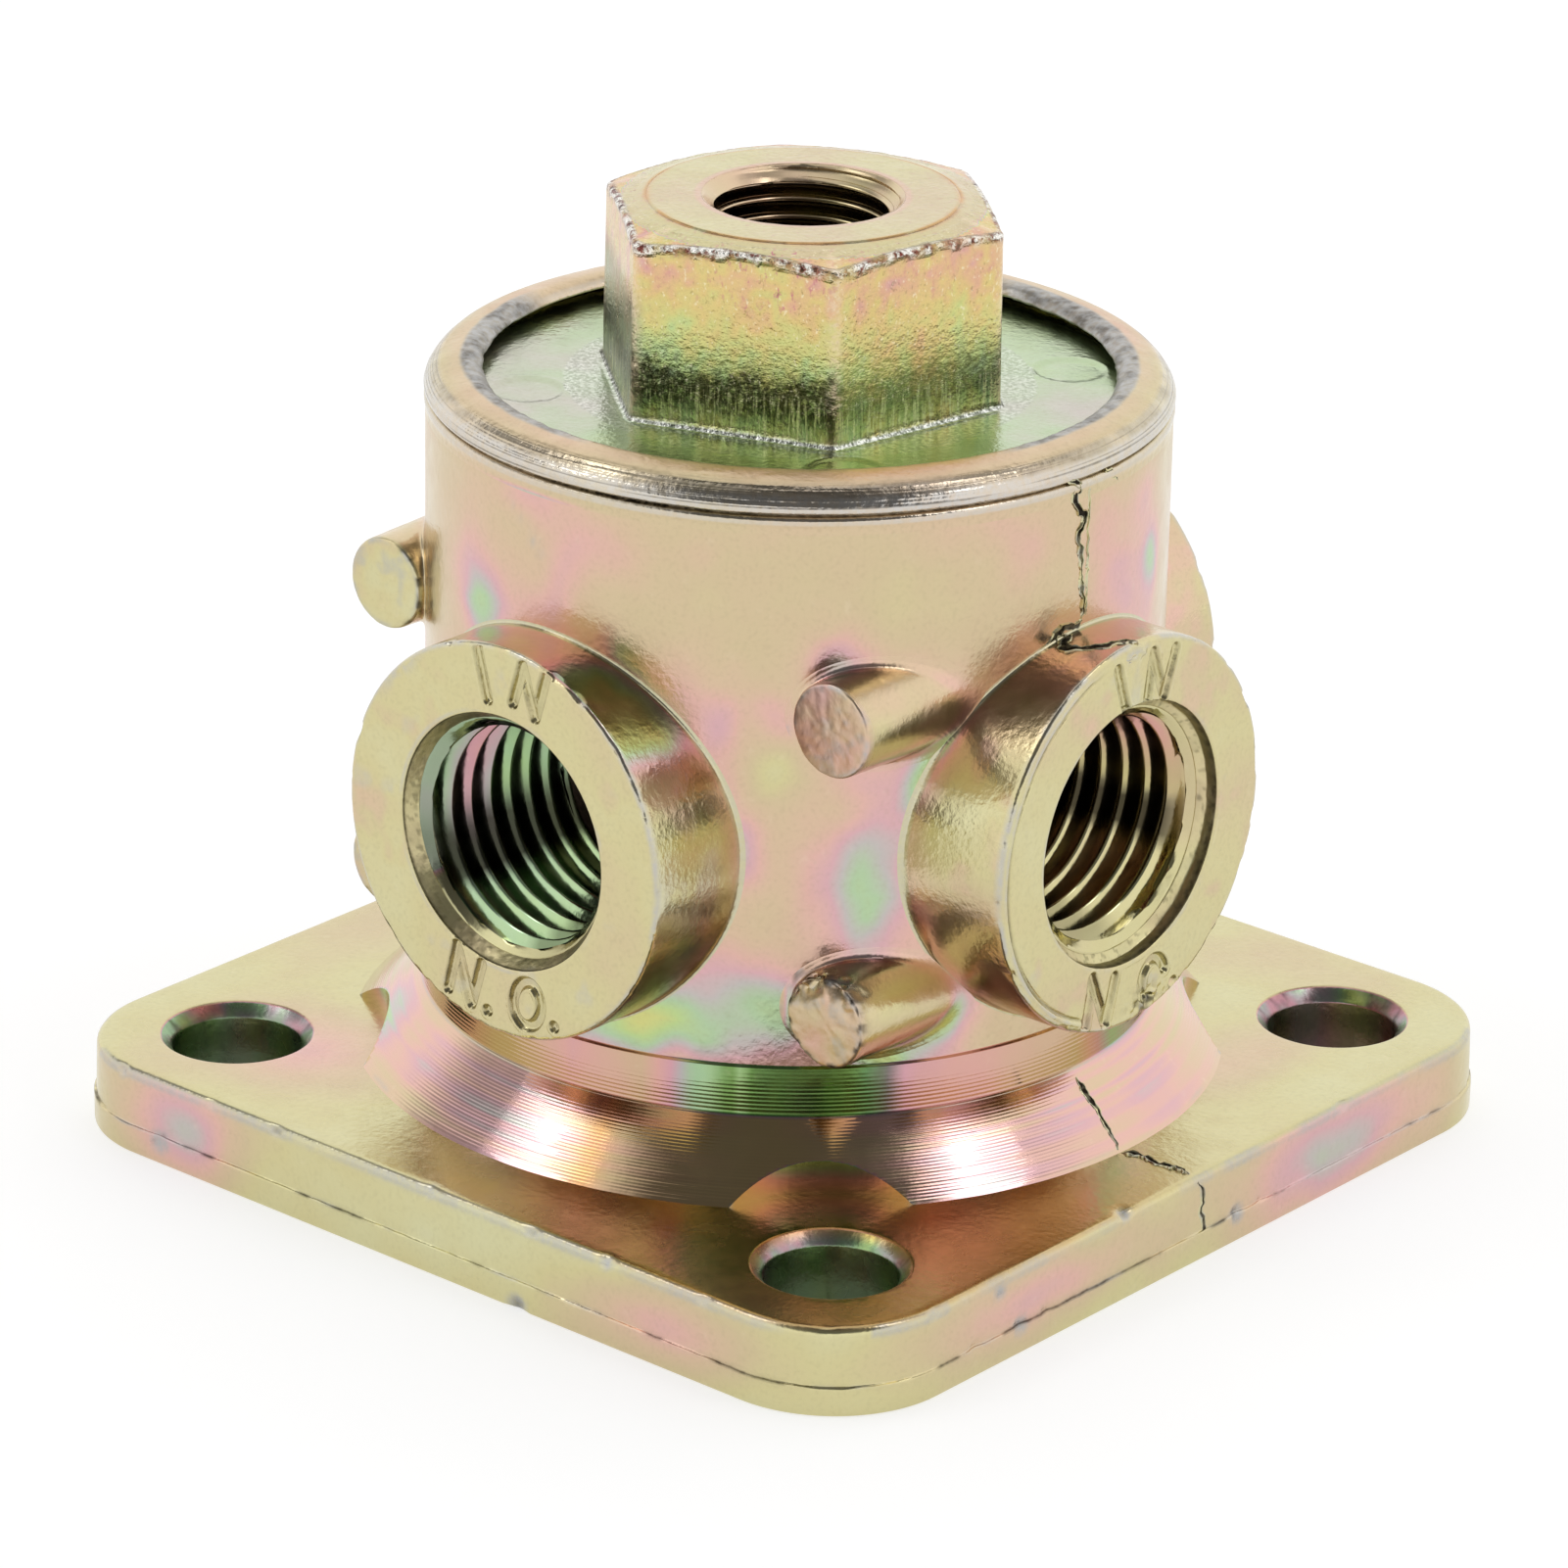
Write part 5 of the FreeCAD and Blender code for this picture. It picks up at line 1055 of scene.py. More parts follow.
for name, ob in pieces.items():
    P = verts(ob)
    N = normals(ob)
    az = np.degrees(np.arctan2(P[:, 1], P[:, 0]))
    r = np.hypot(P[:, 0], P[:, 1])
    z = P[:, 2]
    if name == "barrel_wall":
        film = film_barrel(P)
        worn = 0.9 * np.exp(-(((adiff(az, -93.5) * 0.334 + (z - 37.2) * 0.9) / 0.35) ** 2)) * gauss(z, 37.2, 0.9) * (0.6 + vnoise(P, 0.5, 311))
        finish_piece(ob, film, worn, calm=0.12)
    elif name == "body_core":
        finish_piece(ob, 0.3 + 0.05 * fbm(P, 6, 313), None, np.full(len(P), 0.55))
    elif name.startswith("boss_"):
        side = name[5:]
        axd, e1 = [np.array(q, float) for q in PORTS[side]]
        w, u, v = P @ axd, P @ e1, z - PORT_Z
        rr = np.hypot(u, v)
        face = np.where(rr < BOSS_R - 0.35, sstep(FACE - 0.45, FACE - 0.38, w), sstep(FACE - 0.30, FACE - 0.05, w)) * (rr < BOSS_R)
        fb = film_barrel(P)
        near = 1 - sstep(0.2, 2.2, w - barrel_w(np.clip(u, -19, 19)))
        ang = np.degrees(np.arctan2(v, u))
        if side == "front":
            film = np.interp(ang, [-180, -75, -60, -40, -15, 5, 18, 30, 42, 55, 65, 78, 90, 105, 130, 180], [.20, .30, .18, .08, .05, .05, .09, .20, .64, .74, .60, .30, .22, .20, .20, .20])
            warm = 0.06 * gauss(ang, -38, 16)
        elif side == "right":
            a360 = ang % 360.0
            film = np.interp(a360, [0, 60, 90, 105, 118, 130, 145, 158, 175, 190, 205, 222, 240, 300, 360], [.20, .20, .20, .30, .34, .24, .16, .14, .18, .26, .18, .28, .36, .20, .20])
            warm = 0.20 * gauss(a360, 216, 12) + 0.15 * gauss(a360, 112, 8)
        else:
            film = 0.20 + 0.25 * sstep(0.0, 0.6, fbm(P, 7.0, 322))
            warm = 0 * z
        film = film + (0.10 * fbm(P, 3.2, 321) + 0.10 * sstep(0.1, 0.5, fbm(P, 2.2, 320))) * (1 - face)
        near = near * 0.5
        film = film * (1 - near) + fb * near
        fil = (np.abs(rr - BOSS_R - 0.12) < 0.14) & (w < barrel_w(np.clip(u, -19, 19)) + 0.3)
        film = np.where(fil, 0.12, film)
        warm = warm * (1 - face)
        # deep: painted dark reflections on the boss's sides
        deep = (0.30 * gauss(ang, 70, 22) + 0.20 * gauss(ang, -45, 20)) * (1 - face) if side == "front" else 0.15 * (gauss(ang % 360.0, 120, 20) + gauss(ang % 360.0, 220, 16)) * (1 - face)
        film = film * (1 - face) + face * (0.15 + 0.07 * fbm(P, 3.6, 325) + 0.10 * sstep(0.2, 0.6, fbm(P, 2.4, 324)))
        ink = read(ob, "ink")
        edge = gauss(rr, BOSS_R - 0.06, 0.14) * sstep(FACE - 0.5, FACE - 0.1, w)
        worn = 0.95 * edge * sstep(-0.45, 0.15, fbm(P, 1.6, 327))
        if side == "front":
            worn = np.maximum(worn, 0.85 * gauss(np.degrees(np.arctan2(v, u)), 133, 9) * gauss(rr, BOSS_R - 0.15, 0.45) * face * sstep(-0.1, 0.4, vnoise(P, 0.5, 328)))
        worn = np.maximum(worn, 0.6 * gauss(rr, 6.9 if side != "right" else 7.1, 0.10) * face * sstep(-0.2, 0.4, fbm(P, 2.0, 329)))
        worn = np.maximum(worn, 0.35 * face * sstep(0.35, 0.6, fbm(P, 1.9, 330)))
        # the letters' recesses get painted shade
        dirt = 0.42 * ink * face * (0.75 + 0.5 * vnoise(P, 0.6, 338))
        mouth_r = 7.02 if side == "right" else 6.76
        dirt = np.maximum(dirt, 0.55 * gauss(w, FACE - 0.06, 0.035) * (rr < mouth_r + 0.05))
        inwall = (rr < mouth_r - 0.005) & (w < FACE - 0.08)
        dirt = np.where(inwall, 0.34 * sstep(0.25, 0.55, vnoise(P, 0.20, 333)) + 0.10 * sstep(0.0, 0.5, vnoise(P * [1, 1, 1], 0.8, 337)), dirt)
        dirt = np.maximum(dirt, 0.75 * inwall * gauss(rr, mouth_r - 0.03, 0.035))
        film = np.where(inwall, 0.16 + 0.05 * fbm(P, 2.0, 334), film)
        if side == "right":
            worn = np.maximum(worn, gauss(u, -0.2, 0.9) * gauss(v, 31.75 - PORT_Z, 0.30) * 0.8 * sstep(-0.4, 0.2, vnoise(P, 0.4, 336)))
            worn = np.maximum(worn, sstep(-2.0, -5.0, u) * face * gauss(rr, 10.0, 0.14) * 0.8 * sstep(-0.5, 0.1, fbm(P, 1.1, 335)))
            dirt = np.maximum(dirt, sstep(-2.0, -5.0, u) * face * gauss(rr, 9.76, 0.07) * 0.5)
            dirt = np.maximum(dirt, 0.75 * face * gauss(u, 1.8, 1.2) * gauss(v, 12.2 - PORT_Z, 0.7) * sstep(0.0, 0.4, vnoise(P, 0.34, 331)))
            worn = np.maximum(worn, 0.8 * face * gauss(u, 1.8, 1.2) * gauss(v, 12.2 - PORT_Z, 0.7) * sstep(0.15, 0.45, vnoise(P, 0.30, 339)))
        worn = np.maximum(worn, np.where(fil, 0.45, 0))
        finish_piece(ob, film, worn, dirt, np.where(inwall, 0.14, 0.0), 0.25, warm, deep)
    elif name.startswith("stud_"):
        fb = film_barrel(P)
        x0 = -STUD_X if "left" in name else STUD_X
        z0 = 29.8 if "high" in name else 14.2
        rr = np.hypot(P[:, 0] - x0, z - z0)
        w = -P[:, 1]
        endm = sstep(STUD_END - 0.35, STUD_END - 0.1, w)
        near = 1 - sstep(0.2, 1.4, w - barrel_w(np.clip(P[:, 0], -19, 19)))
        film = (0.20 + 0.10 * fbm(P, 2.5, 341)) * (1 - near) + fb * near
        pink = {"stud_front_left_high": 0.12, "stud_front_right_high": 0.33, "stud_front_right_low": 0.26, "stud_front_left_low": 0.22}[name]
        film = film * (1 - endm) + endm * (pink + 0.14 * fbm(P, 1.6, 343))
        worn = 0.7 * endm * gauss(rr, STUD_R - 0.1, 0.16) * sstep(-0.3, 0.3, fbm(P, 0.8, 345))
        worn = np.maximum(worn, 0.40 * endm * sstep(0.05, 0.45, fbm(P, 1.0, 346)))
        dirt = np.zeros(len(P))
        rough = 0.12 * endm
        if name == "stud_front_right_low":
            top = sstep(0.2, 0.9, (z - z0) / STUD_R) * sstep(STUD_END - 1.3, STUD_END - 0.2, w)
            dirt = 0.85 * top * sstep(-0.15, 0.35, vnoise(P, 0.42, 347))
            worn = np.maximum(worn, 0.85 * top * sstep(0.0, 0.4, vnoise(P, 0.34, 348)))
            ringm = gauss(rr, STUD_R - 0.10, 0.15) * sstep(STUD_END - 0.7, STUD_END - 0.3, w)
            dirt = np.maximum(dirt, 0.9 * ringm * sstep(-0.15, 0.2, vnoise(P, 0.35, 349)))
        if name == "stud_front_left_high":
            dirt = np.maximum(dirt, 0.75 * gauss(rr, STUD_R - 0.05, 0.12) * sstep(STUD_END - 0.6, STUD_END - 0.2, w) * sstep(0.0, 0.8, (P[:, 0] - x0) / STUD_R) * sstep(-0.2, 0.3, vnoise(P, 0.4, 350)))
        finish_piece(ob, film, worn, dirt, rough)
    elif name == "rolled_rim":
        crest = sstep(18.3, 17.6, r)
        roll = sstep(39.45, 39.65, z) * (1 - sstep(18.55, 18.2, r))
        torn = np.maximum(1 - sstep(36, 46, np.abs(adiff(az, -131))), 1 - sstep(46, 56, np.abs(adiff(az, 40))))
        lip = sstep(17.45, 17.15, r + 0.10 * fbm(P, 1.5, 351)) * (z > 41.0)
        flatm = sstep(41.45, 41.70, z) * sstep(18.55, 18.25, r)
        film = 0.23 + 0.05 * fbm(P, 7, 353) + 0.04 * gauss(r, 17.6, 0.5)
        film = film + 0.30 * (1 - sstep(39.2, 39.6, z)) * gauss(adiff(az, -93), 0, 9)
        worn = np.maximum(0.85 * lip * torn, 0.30 * sstep(16.6, 16.4, r) * (z > 41.0))
        run = (z - 40.3) + (19.2 - r)
        line = vnoise(np.stack([az * 0.03, run / 0.125, 0 * z], -1), 1.0, 51)
        burn = sstep(40.28, 40.36, z) * (1 - sstep(41.50, 41.68, z)) * (r > 18.25)
        burn = np.maximum(burn, 0.75 * sstep(39.72, 39.86, z) * (1 - sstep(40.1, 40.2, z)))
        worn = np.maximum(worn, burn * (0.62 + 0.25 * fbm(P * [1, 1, 4], 5.0, 355)) * (1 - 0.55 * sstep(41.05, 41.35, z)))
        part = gauss(adiff(az, -75), 0, 26) + gauss(adiff(az, -160), 0, 24) + gauss(adiff(az, 90), 0, 40)
        # painted shade in the crease under the roll, heavier at three places round it
        dirt = 0.98 * gauss(z, 40.25, 0.055) * (r > 18.3) * (r < 19.14)
        dirt = np.maximum(dirt, 0.95 * np.clip(part, 0, 1) * gauss(z, 40.20, 0.10) * (r > 18.3))
        dirt = np.maximum(dirt, 0.30 * sstep(41.05, 41.3, z) * (1 - sstep(41.55, 41.70, z)) * (r > 18.2) * (0.6 + 0.8 * vnoise(P * [1, 1, 2], 0.8, 358)))
        dirt = np.maximum(dirt, burn * (z > 40.3) * 0.55 * sstep(0.25, 0.75, -line))
        dirt = np.maximum(dirt, 0.0 * flatm)
        dirt = np.maximum(dirt, (0.34 + 0.28 * sstep(-0.2, 0.4, fbm(P * [1, 1, 2], 0.7, 357))) * lip * torn)
        finish_piece(ob, film, worn, dirt, 0.10 * lip * torn + 0.15 * flatm * (1 - lip * torn) - 0.05 * burn)
    elif name == "cone_and_band":
        s = np.clip((z - 4.7) / 3.4, 0, 1) * 5.0
        band = sstep(8.0, 8.2, z)
        film = 0.24 + 0.05 * fbm(P, 6.0, 361) + 0.02 * vnoise(np.stack([az * 0.02, z * 6, 0 * z], -1), 1.0, 363)
        film = film + blobs(adiff(az, 0), s, [(-131, 2, 9, 3, 0.25), (-112, 3, 7, 2.4, 0.17), (-87, 2, 9, 4, 0.14), (-100, 2.5, 7, 4, 0.12), (-25, 2, 10, 4, 0.14), (-6, 3.5, 7, 2.4, 0.16), (14, 2.5, 11, 3, 0.15), (60, 2.5, 18, 3, 0.25),
                                              (120, 2, 20, 3, 0.3), (170, 2, 20, 3, 0.2), (-60, 4.6, 22, 0.6, 0.30)]) * (1 - band)
        bandf = np.interp(az, [-180, -140, -120, -100, -92, -84, -78, -72, -64, -58, -50, -40, -35, -29, -18, -10, 0, 10, 40, 90, 140, 180],
                          [.30, .50, .20, .22, .26, .36, .30, .24, .52, .58, .56, .57, .50, .36, .34, .30, .24, .50, .35, .60, .30, .30]) + 0.035 * fbm(P, 5.0, 365)
        warm = (0.60 * gauss(adiff(az, -76.5), 0, 2.2) + 0.22 * gauss(adiff(az, -66), 0, 7)) * (1 - band)
        # the dark reflection near azimuth -53 is given a khaki, browner colour here, and is painted darker below
        film = film + (0.17 - film) * (1 - band) * gauss(adiff(az, -53), 0, 11)
        warm = warm + 0.30 * (1 - band) * gauss(adiff(az, -51), 0, 12) + 0.30 * band * gauss(adiff(az, -112), 0, 12)
        rainbow = 0.07 * vnoise(np.stack([az * 0.012, z * 5.0, 0 * z], -1), 1.0, 362) * (1 - gauss(adiff(az, -53), 0, 16))
        film = film + rainbow * (1 - band)
        # painted dark reflection on the band between azimuths -60 and -33
        green = sstep(-62, -57, az) * sstep(-31.5, -35.5, az) * (1 - 0.8 * gauss(az, -56.5, 1.2)) * band
        film = film + 0.05 * (gauss(adiff(az, -91), 0, 10) + gauss(adiff(az, -22), 0, 14)) * (1 - band)
        moon = (np.hypot(np.abs(P[:, 0]) - BOLT, np.abs(P[:, 1]) - BOLT) < HEAD_R + 0.03) & (z < 8.1)
        # deep: painted dark reflections on the cone near azimuth -51 and over the band, and a painted dark stripe at
        # -77 beside the left highlight
        deep = 0.95 * green + 0.25 * band + 0.35 * (1 - band) * (gauss(adiff(az, -77), 0, 6) + 0.5 * gauss(adiff(az, -51), 0, 12))
        # painted shade in the half-moon cut
        deep = np.where(moon, 0.40, deep)
        film = np.where(moon, 0.60 - 0.42 * sstep(6.6, 4.9, z) + 0.05 * fbm(P, 1.5, 368), film)
        warm = np.where(moon, 0.25 * sstep(6.2, 4.9, z), warm)
        film = film * (1 - band) + bandf * band
        # a painted highlight line on the crease at the cone's top, and a painted shade line just above it
        worn = 0.30 * gauss(z, 4.85, 0.10) * sstep(-0.1, 0.4, fbm(P, 2.0, 367)) + 0.45 * gauss(z, 8.1, 0.05)
        # a painted highlight along the half-moon's lower edge
        worn = np.where(moon, 0.85 * gauss(z, 4.78, 0.09), worn)
        finish_piece(ob, film, worn, np.maximum(0.15 * gauss(z, 8.19, 0.05), 0.22 * green), 0 * z, 0.14 - 0.10 * band, warm, deep)
    elif name == "flange_plate":
        x, y = P[:, 0], P[:, 1]
        top = sstep(THICK - 0.25, THICK - 0.06, z)
        film = 0.12 + 0.06 * fbm(P, 13.0, 371)
        film = film + blobs(x, y, [(-17, -20, 6, 5, 0.26), (-25, -6, 4, 8, 0.10), (20, 12, 3, 7, 0.13), (17, 24, 8, 3, 0.05), (22, -20, 6, 6, 0.06), (-24, 18, 6, 7, 0.25), (-10, 25, 10, 4, 0.3)])
        sidef = 0.13 + 0.12 * fbm(P, 8.0, 373)
        sidef = sidef + np.where(y < -20, blobs(x, z, [(-17.5, 2.5, 4, 3, 0.35), (16, 2.2, 6, 1.6, 0.18), (0, 3, 6, 3, -0.08)]), 0)
        sidef = sidef + np.where(x > 20, blobs(y, z, [(-12, 2.6, 7, 1.5, 0.22), (12, 2.5, 9, 3, 0.32)]), 0)
        film = film * top + sidef * (1 - top)
        out = np.maximum(np.abs(x), np.abs(y))
        edge = sstep(3.95, 4.25, z) * (1 - sstep(4.62, 4.70, z)) * (out > 26.6)
        worn = 0.55 * edge * sstep(-0.35, 0.35, fbm(P, 3.0, 375) + 0.25 * np.where(y < -20, 1, 0))
        pl = gauss(z, PART_Z - 0.03, 0.07) * (out > 26)
        worn = np.maximum(worn, 0.6 * pl * sstep(-0.1, 0.4, fbm(P, 2.6, 377)))
        dirt = 0.75 * pl * sstep(0.05, 0.35, fbm(P, 1.7, 379))
        for cx, cy, cz, rr, dd in ((-22, -27.7, 4.4, .55, 1), (-10.7, -27.7, 4.45, .5, 1), (0, -27.7, 4.5, .6, 1), (7, -27.7, 4.5, .45, 1), (12, -27.7, 4.45, .6, 1),
                                   (27.7, -16, 3.9, .6, 1), (27.5, -6, 4.6, .6, 1), (27.8, -14.5, 1.5, .7, 1), (27.8, 3, 1.55, .7, 1), (6.2, -27.9, .25, .8, 1), (-19, -27.9, 1.3, .9, 1)):
            d = np.sqrt((x - cx) ** 2 + (y - cy) ** 2 + (z - cz) ** 2)
            worn = np.maximum(worn, 0.8 * (1 - sstep(0.3 * rr, 1.1 * rr, d)))
            dirt = np.maximum(dirt, 0.5 * (1 - sstep(0.1 * rr, 0.8 * rr, d)) * sstep(-0.2, 0.3, vnoise(P, 0.4, 381)))
        dirt = np.maximum(dirt, 0.05 * top)
        warm = top * np.clip(blobs(x, y, [(20, -20, 9.5, 12, 0.80), (25.5, -8, 4, 6, 0.30)]), 0, 0.8)
        film = film + (0.14 - film) * np.clip(blobs(x, y, [(24, -20, 6.0, 8, 0.9)]), 0, 0.9) * top
        hole = (np.hypot(np.abs(x) - BOLT, np.abs(y) - BOLT) < BOLT_R + BOLT_CH + 0.15) & (z < THICK - 0.7) & (z > 0.02)
        hr_ = np.hypot(np.abs(x) - BOLT, np.abs(y) - BOLT)
        cham = (hr_ < BOLT_R + BOLT_CH - 0.03) & (z > THICK - 0.95) & (hr_ > BOLT_R - 0.2)
        film = np.where(cham, 0.50 + 0.20 * fbm(P, 1.6, 386), film)
        dirt = np.where(cham, 0.20 + 0.45 * gauss(vnoise(P * [1, 1, 0.5], 1.3, 387), 0.0, 0.12) * sstep(-0.3, 0.3, fbm(P, 3.0, 388)), dirt)
        ha_ = np.degrees(np.arctan2(np.abs(y) - BOLT, np.abs(x) - BOLT))
        # the bolt holes' walls: dark green with painted shade
        film = np.where(hole, 0.56 - 0.30 * gauss(np.abs(adiff(ha_, 100)), 0, 50) + 0.05 * vnoise(P, 1.2, 383), film)
        finish_piece(ob, film, worn, np.where(hole, 0.10 + 0.30 * gauss(vnoise(P * [1, 1, 3], 1.6, 385), 0.0, 0.10), dirt), None, np.where(hole, 0.05, np.where(cham, 0.0, 0.14)), warm, np.where(cham, 0.35, 0.0))
    elif name.startswith("thread_"):
        if name == "thread_pilot":
            d, rr = HEX_TOP - z, r
            film = 0.24 + 0.10 * fbm(P, 2.5, 391)
        else:
            axd, e1 = [np.array(q, float) for q in PORTS[name[7:]]]
            d = FACE - P @ axd
            rr = np.hypot(P @ e1, z - PORT_Z)
            up = z - PORT_Z
            if name == "thread_right":
                film = 0.15 + 0.20 * sstep(0.0, 4.5, up) * sstep(1.4, 1.9, d) + 0.04 * fbm(P, 3.0, 393)
            else:
                film = np.interp(d, [0, 1.3, 2.2, 2.9, 4.8, 5.8, 9.0], [0.16, 0.50, 0.54, 0.44, 0.42, 0.54, 0.57]) + 0.05 * fbm(P, 3.0, 393)
                film = film + (0.55 - film) * sstep(0.0, -3.5, up)
                film = np.where(d < 1.2, 0.52, film)
        turn, ledge = read(ob, "turn"), read(ob, "ledge")
        # gr: painted shade across each turn of the thread, by row
        gr = np.interp(turn, [-0.05, 0.05, 0.12, 0.23, 0.34, 0.43, 0.465, 0.495, 0.525, 0.56, 0.65, 0.77, 0.88, 0.92], [1, 1, 0.95, 0.72, 0.34, 0.10, 0.12, 0.30, 0.45, 0.60, 0.80, 0.95, 1, 1])
        if name == "thread_pilot":
            gr = np.where(ledge > 0.5, 0.3, gr)
            attribute(ob, "mint", np.zeros(len(P)))
            # painted shade in the grooves and deeper down the bore
            dirt = np.maximum(0.75 * gr ** 1.3 * sstep(0.6, 0.9, d), 0.60 * sstep(3.5, 9.5, d))
            finish_piece(ob, film, None, dirt, 0.12 * (1 - sstep(0.6, 0.9, d)), 0.15)
            continue
        # painted light in the threads: which side of each turn is painted lit changes round the bore, and the rest gets
        # painted shade
        phi = np.degrees(np.arctan2(up, P @ e1)) % 360.0
        phi = phi + 5.0 * fbm(P, 2.5, 394)
        crest_l = np.maximum(1 - sstep(0.04, 0.09, np.abs(turn)), sstep(0.90, 0.93, turn))
        if name == "thread_right":
            high = sstep(352, 362, np.where(phi < 180, phi + 360, phi))
            late = sstep(0.56, 0.84, turn)
            low = sstep(336, 326, phi) * (phi > 180) * (1 - 0.45 * sstep(292, 274, phi))
            other = sstep(110, 128, phi) * sstep(250, 236, phi)
        else:
            high = sstep(200, 174, phi) * (phi > 60)
            late = sstep(0.60, 0.74, turn)
            low = sstep(220, 231, phi) * (1 - 0.60 * sstep(266, 280, phi))
            other = np.maximum(sstep(296, 312, phi), sstep(80, 64, phi))
        early = (1 - sstep(0.72, 0.86, turn)) * sstep(0.44, 0.50, turn)
        # the painted light fades deeper down the bore
        fade = 1 - 0.75 * sstep(3.0, 8.5, d)
        lit = np.maximum(high * late * fade * 0.92, low * early * (1 - 0.5 * sstep(6.5, 10.0, d)))
        # whatever is not painted lit gets painted shade
        dirt = 0.93 * (1 - lit)
        # painted reflection: the flank that faces inwards is only seen mirrored in the next one, so its painted shade
        # is lifted where the flanks are painted lit
        back_f = sstep(0.07, 0.12, turn) * sstep(0.55, 0.50, turn) * np.maximum(high, low)
        dirt = dirt * (1 - 0.95 * back_f)
        if name == "thread_right":
            # painted shade is lighter near the right port's mouth
            dirt = dirt * (1 - 0.55 * sstep(2.5, 1.5, d))
        # crest lines half dark
        dirt = dirt + (0.50 - dirt) * crest_l * (1 - 0.8 * low)
        # the walls turned away from the view are painted lighter, with painted shade in each groove, so the seen flanks
        # mirror light
        dirt = dirt + ((0.66 if name == "thread_back" else 0.42) * gr ** 1.5 * (1 - 0.3 * sstep(4.0, 9.0, d)) - dirt) * other
        warm = 0.55 * crest_l * (1 - low) * (1 - ledge) * (1 - other)
        if name == "thread_right":
            dirt = dirt + (0.10 - dirt) * ledge
            warm = warm * 0.4
        else:
            # painted shade on the mouth's ledge, changing round the bore
            led = 0.34 + 0.34 * gauss(phi, 205, 22) - 0.30 * gauss(phi, 262, 24)
            dirt = dirt + (led - dirt) * ledge
            film = film + (np.where(phi < 215, 0.54, 0.12) - film) * ledge
        # painted mint highlights on the lower flanks
        attribute(ob, "mint", np.clip(0.85 * low * early * (1 - ledge) * (1 - other) * (0.35 if name == "thread_right" else 1.0), 0, 1))
        # deep darkens the upper zone: painted shade
        finish_piece(ob, film, None, dirt, None, 0.08, warm, 0.40 * high * (1 - ledge) * (1 - other))
    elif name == "cap_casting":
        ha = adiff(az, 0)
        face = (r > 8.6) & (r < 11.4) & (z > DISC_Z + 0.05)
        disc = (z < DISC_Z + 0.2) & (r > 9.0)
        film = np.where(disc, 0.53 + 0.05 * fbm(P, 6.0, 401) + 0.08 * np.exp(-(adiff(az, -38) / 26) ** 2), 0.0)
        hz = np.interp(z, [40.7, 41.3, 42.2, 43.0, 44.6, 45.6, 47.0, 48.0, 49.0, 50.2], [0.66, 0.64, 0.62, 0.62, 0.64, 0.69, 0.75, 0.79, 0.80, 0.77])
        wav = 0.06 * fbm(P * [1, 1, 0.8], 2.8, 403) + 0.05 * vnoise(P * [1, 1, 0.5], 0.9, 405) + 0.05 * vnoise(P, 0.40, 406)
        wav = wav + 0.10 * np.maximum(vnoise(P, 0.8, 408), 0) * sstep(46.0, 47.5, z)
        fb = sstep(22, 18, np.abs(adiff(az, -10.5)))
        film = np.where(disc, film, hz + wav + fb * (0.05 - 0.07 * sstep(45, 47, z)))
        crown = z > 49.75
        cr = 0.16 + 0.10 * fbm(P, 4.0, 407)
        film = np.where(crown & (r < 9.3), cr, film)
        film = np.where((r < 5.6) & crown, 0.30, film)
        rhex = hex_radius(az, HEX_AF / 2 - (50.0 - DISC_Z) * math.tan(math.radians(1.45)) * 0.5, 0.7)
        zcv = HEX_TOP - 0.06 - 0.74 / (HEX_AF / 2 / math.cos(PI / 6) - 8.0) * (rhex - 0.26 - 8.05)
        edge = sstep(-0.38, -0.22, r - rhex + 0.07 * vnoise(P, 0.6, 417)) * sstep(-0.52, -0.30, z - zcv + 0.12 * vnoise(P, 0.6, 418)) * (z > 49.2)
        attribute(ob, "edge", edge)
        attribute(ob, "base", gauss(z, DISC_Z + 0.13, 0.12) * (r > 9.2) * (r < 12.1))
        vert = np.abs(adiff((az - HEX_AZ) % 60, 0))
        vert = np.minimum(vert, 60 - vert)
        # painted highlight along the hexagon's vertical corners
        attribute(ob, "upright", np.where(face, gauss(vert + 0.5 * vnoise(P, 0.7, 419), 0, 1.9), 0))
        fa = sstep(34, 29, np.abs(adiff(az, -70.5)))
        fc = sstep(34, 29, np.abs(adiff(az, -130.5)))
        attribute(ob, "shade", np.where(face, 0.55 + 0.45 * fa + 0.15 * fc, 0))
        attribute(ob, "side", np.where(face, 1.0, 0.0))
        # deep: painted shade on the lower part of the hexagon's faces
        deep = np.where(face, 0.16 * sstep(45.0, 43.5, z), 0.0)
        attribute(ob, "pinkish", np.where(face, sstep(46.0, 48.5, z) * (0.35 + 0.65 * fa * gauss(adiff(az, -58), 0, 16)), np.where(crown, 0.25, 0)))
        dirt = np.where(crown & (r < 10.9), 0.07, 0) + np.where(disc, 0.05, 0)
